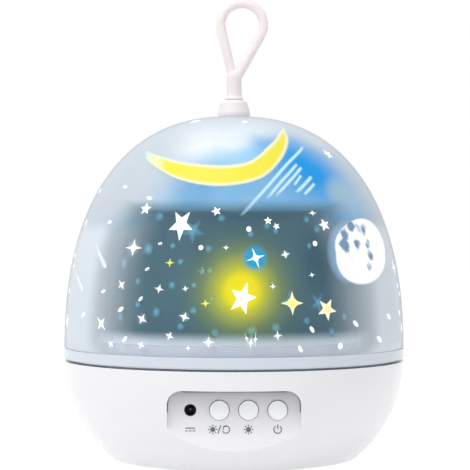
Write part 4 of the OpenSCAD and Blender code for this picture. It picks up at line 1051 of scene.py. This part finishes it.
# The crescent's lower and upper edges from left to right: azimuth and height
CRESCENT_OUTER = [(-50.2, 105.9), (-35.6, 101.4), (-25.0, 98.0), (-15.2, 96.0), (-6.6, 95.2), (0.8, 95.6),
                  (7.3, 96.7), (13.6, 98.9), (20.6, 103.2), (28.1, 108.3), (34.4, 112.5), (40.1, 115.7)]
CRESCENT_INNER = [(-55.1, 108.1), (-38.2, 105.4), (-28.1, 103.7), (-17.1, 102.4), (-7.5, 101.8), (0.0, 102.0),
                  (6.0, 102.9), (11.8, 105.2), (17.5, 108.2), (24.0, 110.9), (31.0, 113.9), (39.5, 116.2)]
CRESCENT_MARGIN = 0.7       # how far its soft edge stands out beyond them, in millimetres
CRESCENT_FADE = 3.0         # depth from its edge at which it is full, in millimetres
CRESCENT_LENGTH = 50.0      # its rough length
CRESCENT_TIPS = (9.5, 7.0)  # length of the fades at its left and right ends

# Streaks of shooting stars: places from head to tail as azimuth and height, and width in millimetres
STREAKS = [
    ([(40.6, 109.4), (27.3, 104.0), (19.2, 99.3), (10.3, 92.4), (2.2, 84.9)], 1.05),
    ([(29.6, 102.8), (19.7, 96.8), (12.2, 90.6)], 1.0), ([(31.2, 101.7), (22.7, 96.5), (15.8, 91.6)], 1.0),
    ([(29.2, 98.8), (24.5, 95.3)], 0.9), ([(34.3, 98.5), (24.4, 92.8)], 1.1), ([(34.4, 96.1), (27.8, 92.2)], 1.0),
]
COMETS = [([(-47.5, 67.8), (-56.8, 76.6)], 2.1), ([(-59.9, 60.2), (-70.2, 67.0)], 2.1)]
STREAK_SPREAD = 0.75        # half a streak's reach with its soft sides, against its width


class NIGHTLIGHT_OT_stars(bpy.types.Operator):
    """Prints the stars, sparkles and dots on the dome"""
    bl_idname = "night_light.stars"
    bl_label = "Printed stars"

    def execute(self, context):
        prints = settings("prints")
        self.print_set(prints, "stars_white", WHITE_PRINTS + self.more(prints), "Star white",
                       colour(250, 252, 255), 0.30)
        self.print_set(prints, "stars_yellow", YELLOW_PRINTS, "Star yellow", colour(226, 226, 24), 0.1)
        self.print_set(prints, "stars_pale", PALE_PRINTS, "Star pale", colour(244, 240, 196), 0.25,
                       [(PALE_PRINTS[0], colour(248, 234, 120)), (PALE_PRINTS[1], colour(250, 222, 166))])
        self.print_set(prints, "star_bright", [BRIGHT_STAR], "Star lit", colour(255, 253, 236), 0.7)
        self.print_set(prints, "sparkle_blue", [BLUE_SPARKLE], "Sparkle lit", colour(244, 254, 255), 0.5)
        self.halos(prints)
        return {"FINISHED"}

    def halos(self, prints):
        """Soft-edged discs under the prints."""
        bm, glow = glowing_mesh()
        for azimuth, height, radius in PRINT_HALOS:
            lay_on_dome(bm, disc(bm, radius * MM, 5, 16, glow), azimuth, height, prints.lift, HALO_THICKNESS)
        finish_piece("print_shine", bm, make_finish("Print shine", self.shine), "dome")

    def shine(self, tree):
        tone = speckled(tree, 400.0, colour(216, 230, 238), colour(228, 240, 246))
        return soft_ink(tree, tone, [(0.0, 0.0), (0.4, 0.07), (1.0, 0.34)], 0.1)

    def print_set(self, prints, name, rows, finish, tint, light, hearts=()):
        """Prints rows of stars as one piece, in an ink of their own."""
        bm = bmesh.new()
        for azimuth, height, reach, kind, turn in rows:
            lay_on_dome(bm, flat_shape(bm, kind, reach * MM, turn), azimuth, height, prints.lift, prints.thickness)
        finish_piece(name, bm, make_finish(finish, self.ink, tint, light, hearts), "dome", smooth=False)

    def more(self, prints):
        """Stars strewn over the sides and the back, clear of each other."""
        chance = random.Random(prints.seed)
        placed = []
        rows = []
        for _ in range(prints.count * 30):
            if len(rows) >= prints.count:
                break
            azimuth = chance.uniform(*DRAW_AZIMUTHS)
            if DRAW_OUTLINE[0] < 180 - abs(azimuth - 180) < DRAW_OUTLINE[1]:
                continue
            height = DRAW_LOW + DRAW_RISE * chance.random() ** 1.15
            spot = dome_place(azimuth, height * MM)
            size = chance.choice(DRAW_REACHES)
            if any((spot - other).length < (size + reach + DRAW_GAP) * MM for other, reach in placed):
                continue
            placed.append((spot, size))
            kind = "dot" if size < 1.1 else chance.choice(("spark4", "spark4", "star5"))
            rows.append((azimuth, height, size, kind, chance.uniform(-35, 35)))
        return rows

    def ink(self, tree, tint, light, hearts):
        """Opaque ink that glows a little, as the lamp behind it is lit, and deeper at the hearts' middles."""
        tone = drifting(tree, tint, colour(255, 255, 255), 500.0, 0.15)
        for (azimuth, height, reach, _, _), deep in hearts:
            middle = dome_place(azimuth, height * MM)
            tone = mix_colour(tree, soft_spot(tree, middle, 0.1 * reach * MM, 0.7 * reach * MM), tone, deep)
        return moulded(tree, tone, 5000.0, 600.0, 0.45, 0.1, 0.1, 0.00003, Emission_Color=tone,
                       Emission_Strength=light)


class NIGHTLIGHT_OT_crescent(bpy.types.Operator):
    """Prints the crescent, the moon disc and the shooting stars on the dome"""
    bl_idname = "night_light.crescent"
    bl_label = "Crescent, moon and streaks"

    def execute(self, context):
        prints = settings("prints")
        self.crescent(prints)
        self.moon(prints)
        self.streaks(prints, "streak_prints", STREAKS, False, colour(182, 220, 242), colour(200, 230, 246))
        self.streaks(prints, "comet_prints", COMETS, True, colour(226, 238, 246), colour(238, 246, 250))
        return {"FINISHED"}

    def crescent(self, prints):
        """A sheet between the crescent's two edges, fading towards them and its ends."""
        bm, glow = glowing_mesh()
        made = bmesh.ops.create_grid(bm, x_segments=66, y_segments=12, size=0.5)["verts"]
        for vert in made:
            s, t = vert.co.x + 0.5, vert.co.y + 0.5
            low = self.between(CRESCENT_OUTER, s)
            high = self.between(CRESCENT_INNER, s)
            width = (dome_place(*low) - dome_place(*high)).length / MM
            edge = CRESCENT_MARGIN * min(1.0, (1 - s) * 8)
            grown = -edge / width + t * (1 + 2 * edge / width) if width > 0.1 else t
            azimuth = low[0] + (high[0] - low[0]) * grown
            height = low[1] + (high[1] - low[1]) * grown
            deep = min(t, 1 - t) * (width + 2 * edge)
            vert[glow] = max(0.0, min(1.0, deep / CRESCENT_FADE, s * CRESCENT_LENGTH / CRESCENT_TIPS[0],
                                      (1 - s) * CRESCENT_LENGTH / CRESCENT_TIPS[1]))
            vert.co = onto_dome(dome_place(azimuth, height), prints.lift + prints.thickness)
        back_sheet(bm, made, prints.thickness, DOME_MIDDLE)
        finish_piece("crescent_print", bm, make_finish("Crescent yellow", self.crescent_ink), "dome")

    def crescent_ink(self, tree):
        yellow = speckled(tree, 160.0, colour(223, 212, 28), colour(230, 220, 66))
        soft = shade_ramp(tree, glow_share(tree), [(0.18, 0.0), (0.34, 0.35), (0.70, 1.0)])
        tone = mix_colour(tree, soft, colour(236, 246, 240), yellow)
        return soft_ink(tree, tone, [(0.0, 0.0), (0.10, 0.2), (0.24, 0.7), (0.42, 1.0)], 0.03)

    def between(self, rows, share):
        """The place at a share of the way through rows of azimuth and height, in degrees and metres."""
        spot = share * (len(rows) - 1)
        k = min(int(spot), len(rows) - 2)
        part = spot - k
        around = [rows[max(k - 1, 0)], rows[k], rows[k + 1], rows[min(k + 2, len(rows) - 1)]]

        def curve(i):
            p0, p1, p2, p3 = (row[i] for row in around)
            return 0.5 * (2 * p1 + (p2 - p0) * part + (2 * p0 - 5 * p1 + 4 * p2 - p3) * part ** 2
                          + (3 * p1 - p0 - 3 * p2 + p3) * part ** 3)
        return curve(0), curve(1) * MM

    def moon(self, prints):
        """The moon's disc on the dome and the blur it throws on the film, a painted reflection."""
        azimuth, height, reach, wide = MOON
        bm, glow = glowing_mesh()
        made = disc(bm, reach * MM, 14, 48, glow)
        for vert in made:
            fuller = MOON_SHOULDER * max(0.0, -vert.co.x) * max(0.0, vert.co.y) / (reach * MM) ** 2
            vert.co.x = (wide + fuller) * vert.co.x + MOON_LEAN * vert.co.y
        lay_on_dome(bm, made, azimuth, height, prints.lift, prints.thickness)
        finish_piece("moon_print", bm, make_finish("Moon print", self.moon_ink), "dome")

        azimuth, height, reach = MOON_BLUR
        bm, glow = glowing_mesh()
        lay_on_film(bm, disc(bm, reach * MM, 12, 40, glow), azimuth, height, MOON_BLUR_LIFT)
        finish_piece("moon_blur", bm, make_finish("Moon blur", self.blur_ink), "turntable")

    def moon_ink(self, tree):
        """White with grey seas, broken up by noise."""
        near = 0.0
        for centre, core, reach in MOON_SEAS:
            near = calc(tree, "MAXIMUM", soft_spot(tree, Vector(centre) * MM, core * MM, reach * MM), near)
        rough = noise(tree, 170.0, 4.0, Roughness=0.6, Distortion=0.5)
        patches = shade_ramp(tree, calc(tree, "ADD", rough, times(tree, near, 0.3)),
                             [(0.60, 0.0), (0.69, 0.5), (0.80, 1.0)])
        tone = mix_colour(tree, times(tree, patches, 0.92), colour(250, 252, 255), colour(62, 112, 148))
        return soft_ink(tree, tone, [(0.0, 0.0), (0.10, 1.0)], 0.25, 0.45)

    def blur_ink(self, tree):
        tone = speckled(tree, 120.0, colour(112, 176, 214), colour(168, 208, 232), 3.0)
        return soft_ink(tree, tone, [(0.0, 0.0), (0.26, 0.75), (1.0, 0.8)], 0.2)

    def streaks(self, prints, name, rows, comet, tint, shift):
        """Thin strokes that fade to their sides and ends; a comet is full at its head and narrows to its tail."""
        bm, glow = glowing_mesh()
        full, fade = (0.7, 1.6) if comet else (1.0, 4.0)
        for route, width in rows:
            made = bmesh.ops.create_grid(bm, x_segments=24, y_segments=4, size=0.5)["verts"]
            start, end = (dome_place(azimuth, height * MM) for azimuth, height in (route[0], route[-1]))
            for vert in made:
                s, t = vert.co.x + 0.5, vert.co.y * 2
                middle = dome_place(*self.between(route, s))
                side = (end - start).cross(dome_normal(middle)).normalized()
                taper = min(1.0, 6 * s + 0.15) * (1 - 0.6 * s) if comet else 1.0
                half = STREAK_SPREAD * width * taper * MM
                vert[glow] = (1 - abs(t)) * min(full, 10 * s, fade * (1 - s))
                vert.co = onto_dome(middle + side * t * half, prints.lift + prints.thickness)
            back_sheet(bm, made, prints.thickness, DOME_MIDDLE)
        ink = make_finish(name.replace("_", " ").capitalize(), self.streak_ink, tint, shift)
        finish_piece(name, bm, ink, "dome")

    def streak_ink(self, tree, tint, shift):
        return soft_ink(tree, speckled(tree, 300.0, tint, shift), [(0.0, 0.0), (0.5, 0.42), (1.0, 0.76)], 0.25, 0.45)


# ---------------------------------------------------------------- loop

class NIGHTLIGHT_OT_loop(bpy.types.Operator):
    """Smooths the hanging loop into one soft moulding and finishes its boss"""
    bl_idname = "night_light.loop"
    bl_label = "Hanging loop"

    def execute(self, context):
        loop = settings("loop")
        bm = bmesh.new()
        bm.from_mesh(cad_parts["hanging_loop"].data)
        bmesh.ops.remove_doubles(bm, verts=bm.verts, dist=1e-6)
        rough = bpy.data.meshes.new("loop_rough")
        bm.to_mesh(rough)
        bm.free()
        holder = bpy.data.objects.new("loop_rough", rough)
        bpy.context.scene.collection.objects.link(holder)
        remesh = holder.modifiers.new("Skin", "REMESH")
        remesh.mode = "VOXEL"
        remesh.voxel_size = loop.voxel
        smooth = holder.modifiers.new("Soften", "SMOOTH")
        smooth.factor = 0.5
        smooth.iterations = 6
        shaped = holder.evaluated_get(bpy.context.evaluated_depsgraph_get()).to_mesh()
        bm = bmesh.new()
        bm.from_mesh(shaped)
        holder.to_mesh_clear()
        bpy.data.objects.remove(holder)
        material = simple_finish("Silicone pale", loop.tint, colour(232, 222, 224), drift=120.0, amount=0.5,
                                 rough=0.5, smudge=0.12, grain=2200.0, waviness=180.0, bump=0.12, depth=0.0001,
                                 Subsurface_Weight=0.35, Subsurface_Scale=0.003, Sheen_Weight=0.15)
        finish_piece("loop_soft", bm, material, "loop", ("hanging_loop",))
        dress(material, "loop_boss")
        return {"FINISHED"}


# ---------------------------------------------------------------- stage

FLOOR_HALF = 3.0
FLOOR_LIGHT = (0.66, 0.3)   # how much of it shines by itself: as it is seen, and as it lights the object
LAMP_MIDDLE = Vector((0, 0, 0.06))      # what the softboxes point at
# Softboxes: name, place, size and share of the key light's power
SOFTBOXES = [("Key", (-0.75, -0.75, 1.15), 0.8, 1.0), ("Fill", (0.95, -0.65, 0.85), 0.8, 0.25),
             ("Top", (-0.1, -0.15, 1.3), 0.9, 0.5), ("Strip", (-1.0, -0.05, 0.22), 0.26, 0.02)]


def background_seen(tree):
    """1 where the camera sees the surroundings, straight or in gloss and glass."""
    rays = add(tree, "ShaderNodeLightPath").outputs
    return calc(tree, "MAXIMUM", rays["Is Camera Ray"],
                calc(tree, "MAXIMUM", rays["Is Glossy Ray"], rays["Is Transmission Ray"]))


class NIGHTLIGHT_OT_stage(bpy.types.Operator):
    """Sets the floor, the room, the softboxes and the camera"""
    bl_idname = "night_light.stage"
    bl_label = "Stage"

    def execute(self, context):
        stage = settings("stage")
        self.floor()
        self.room(stage)
        for name, place, size, share in SOFTBOXES:
            self.softbox(name, place, size, stage.key * share)
        eye = bpy.data.cameras.new("Camera")
        eye.lens = stage.lens
        eye.sensor_width = 36.0
        camera = bpy.data.objects.new("Camera", eye)
        camera.location = stage.eye
        camera.rotation_euler = (math.radians(90), 0, 0)
        context.scene.collection.objects.link(camera)
        context.scene.camera = camera
        context.scene.view_settings.view_transform = "Standard"
        return {"FINISHED"}

    def floor(self):
        bm = bmesh.new()
        bmesh.ops.create_grid(bm, x_segments=1, y_segments=1, size=FLOOR_HALF)
        mesh = bpy.data.meshes.new("floor")
        bm.to_mesh(mesh)
        bm.free()
        mesh.materials.append(make_finish("Floor white", self.paper))
        floor = bpy.data.objects.new("floor", mesh)
        bpy.context.scene.collection.objects.link(floor)

    def paper(self, tree):
        """White paper that shows as white, keeps a shadow and is clear from below."""
        matt = add(tree, "ShaderNodeBsdfDiffuse", {"Color": (0.95, 0.95, 0.95, 1)}).outputs[0]
        white = add(tree, "ShaderNodeEmission", {"Color": (1, 1, 1, 1), "Strength": 1.25}).outputs[0]
        share = calc(tree, "MAXIMUM", times(tree, background_seen(tree), FLOOR_LIGHT[0]), FLOOR_LIGHT[1])
        under = add(tree, "ShaderNodeNewGeometry").outputs["Backfacing"]
        return mix_shader(tree, under, mix_shader(tree, share, matt, white), see_through(tree))

    def room(self, stage):
        world = bpy.data.worlds.new("Room")
        bpy.context.scene.world = world
        world.use_nodes = True
        tree = world.node_tree
        tree.nodes.clear()
        soft, white = (add(tree, "ShaderNodeBackground", {"Color": (1, 1, 1, 1), "Strength": strength}).outputs[0]
                       for strength in (stage.world, 1.0))
        tree.links.new(mix_shader(tree, background_seen(tree), soft, white),
                       tree.nodes.new("ShaderNodeOutputWorld").inputs["Surface"])

    def softbox(self, name, place, size, power):
        light = bpy.data.lights.new(name, "AREA")
        light.shape = "DISK"
        light.size = size
        light.energy = power
        lamp = bpy.data.objects.new(name, light)
        lamp.location = place
        lamp.rotation_euler = (LAMP_MIDDLE - Vector(place)).to_track_quat("-Z", "Y").to_euler()
        bpy.context.scene.collection.objects.link(lamp)


# ---------------------------------------------------------------- panel and start

STEPS = (NIGHTLIGHT_OT_base, NIGHTLIGHT_OT_inside, NIGHTLIGHT_OT_light, NIGHTLIGHT_OT_signs, NIGHTLIGHT_OT_film,
         NIGHTLIGHT_OT_dome, NIGHTLIGHT_OT_stars, NIGHTLIGHT_OT_crescent, NIGHTLIGHT_OT_loop, NIGHTLIGHT_OT_stage)
GROUPS = {"shell": ShellSettings, "dome": DomeSettings, "film": FilmSettings, "prints": PrintSettings,
          "panel": PanelSettings, "loop": LoopSettings, "stage": StageSettings}


class NIGHTLIGHT_PT_panel(bpy.types.Panel):
    """Lists the pieces and their settings"""
    bl_idname = "NIGHTLIGHT_PT_panel"
    bl_label = "Night light"
    bl_space_type = "VIEW_3D"
    bl_region_type = "UI"
    bl_category = "Night light"

    def draw(self, context):
        for name, group in GROUPS.items():
            box = self.layout.box()
            box.label(text=name.capitalize())
            for key in group.__annotations__:
                box.prop(settings(name), key)
        for step in STEPS:
            self.layout.operator(step.bl_idname)


def register():
    for name, group in GROUPS.items():
        bpy.utils.register_class(group)
        setattr(bpy.types.Scene, "night_light_" + name, PointerProperty(type=group))
    for step in STEPS + (NIGHTLIGHT_PT_panel,):
        bpy.utils.register_class(step)


def unregister():
    for step in reversed(STEPS + (NIGHTLIGHT_PT_panel,)):
        bpy.utils.unregister_class(step)
    for name, group in reversed(list(GROUPS.items())):
        delattr(bpy.types.Scene, "night_light_" + name)
        bpy.utils.unregister_class(group)


def main():
    register()
    build_groups()
    for step in STEPS:
        group, name = step.bl_idname.split(".")
        getattr(getattr(bpy.ops, group), name)()


if __name__ == "__main__":
    main()
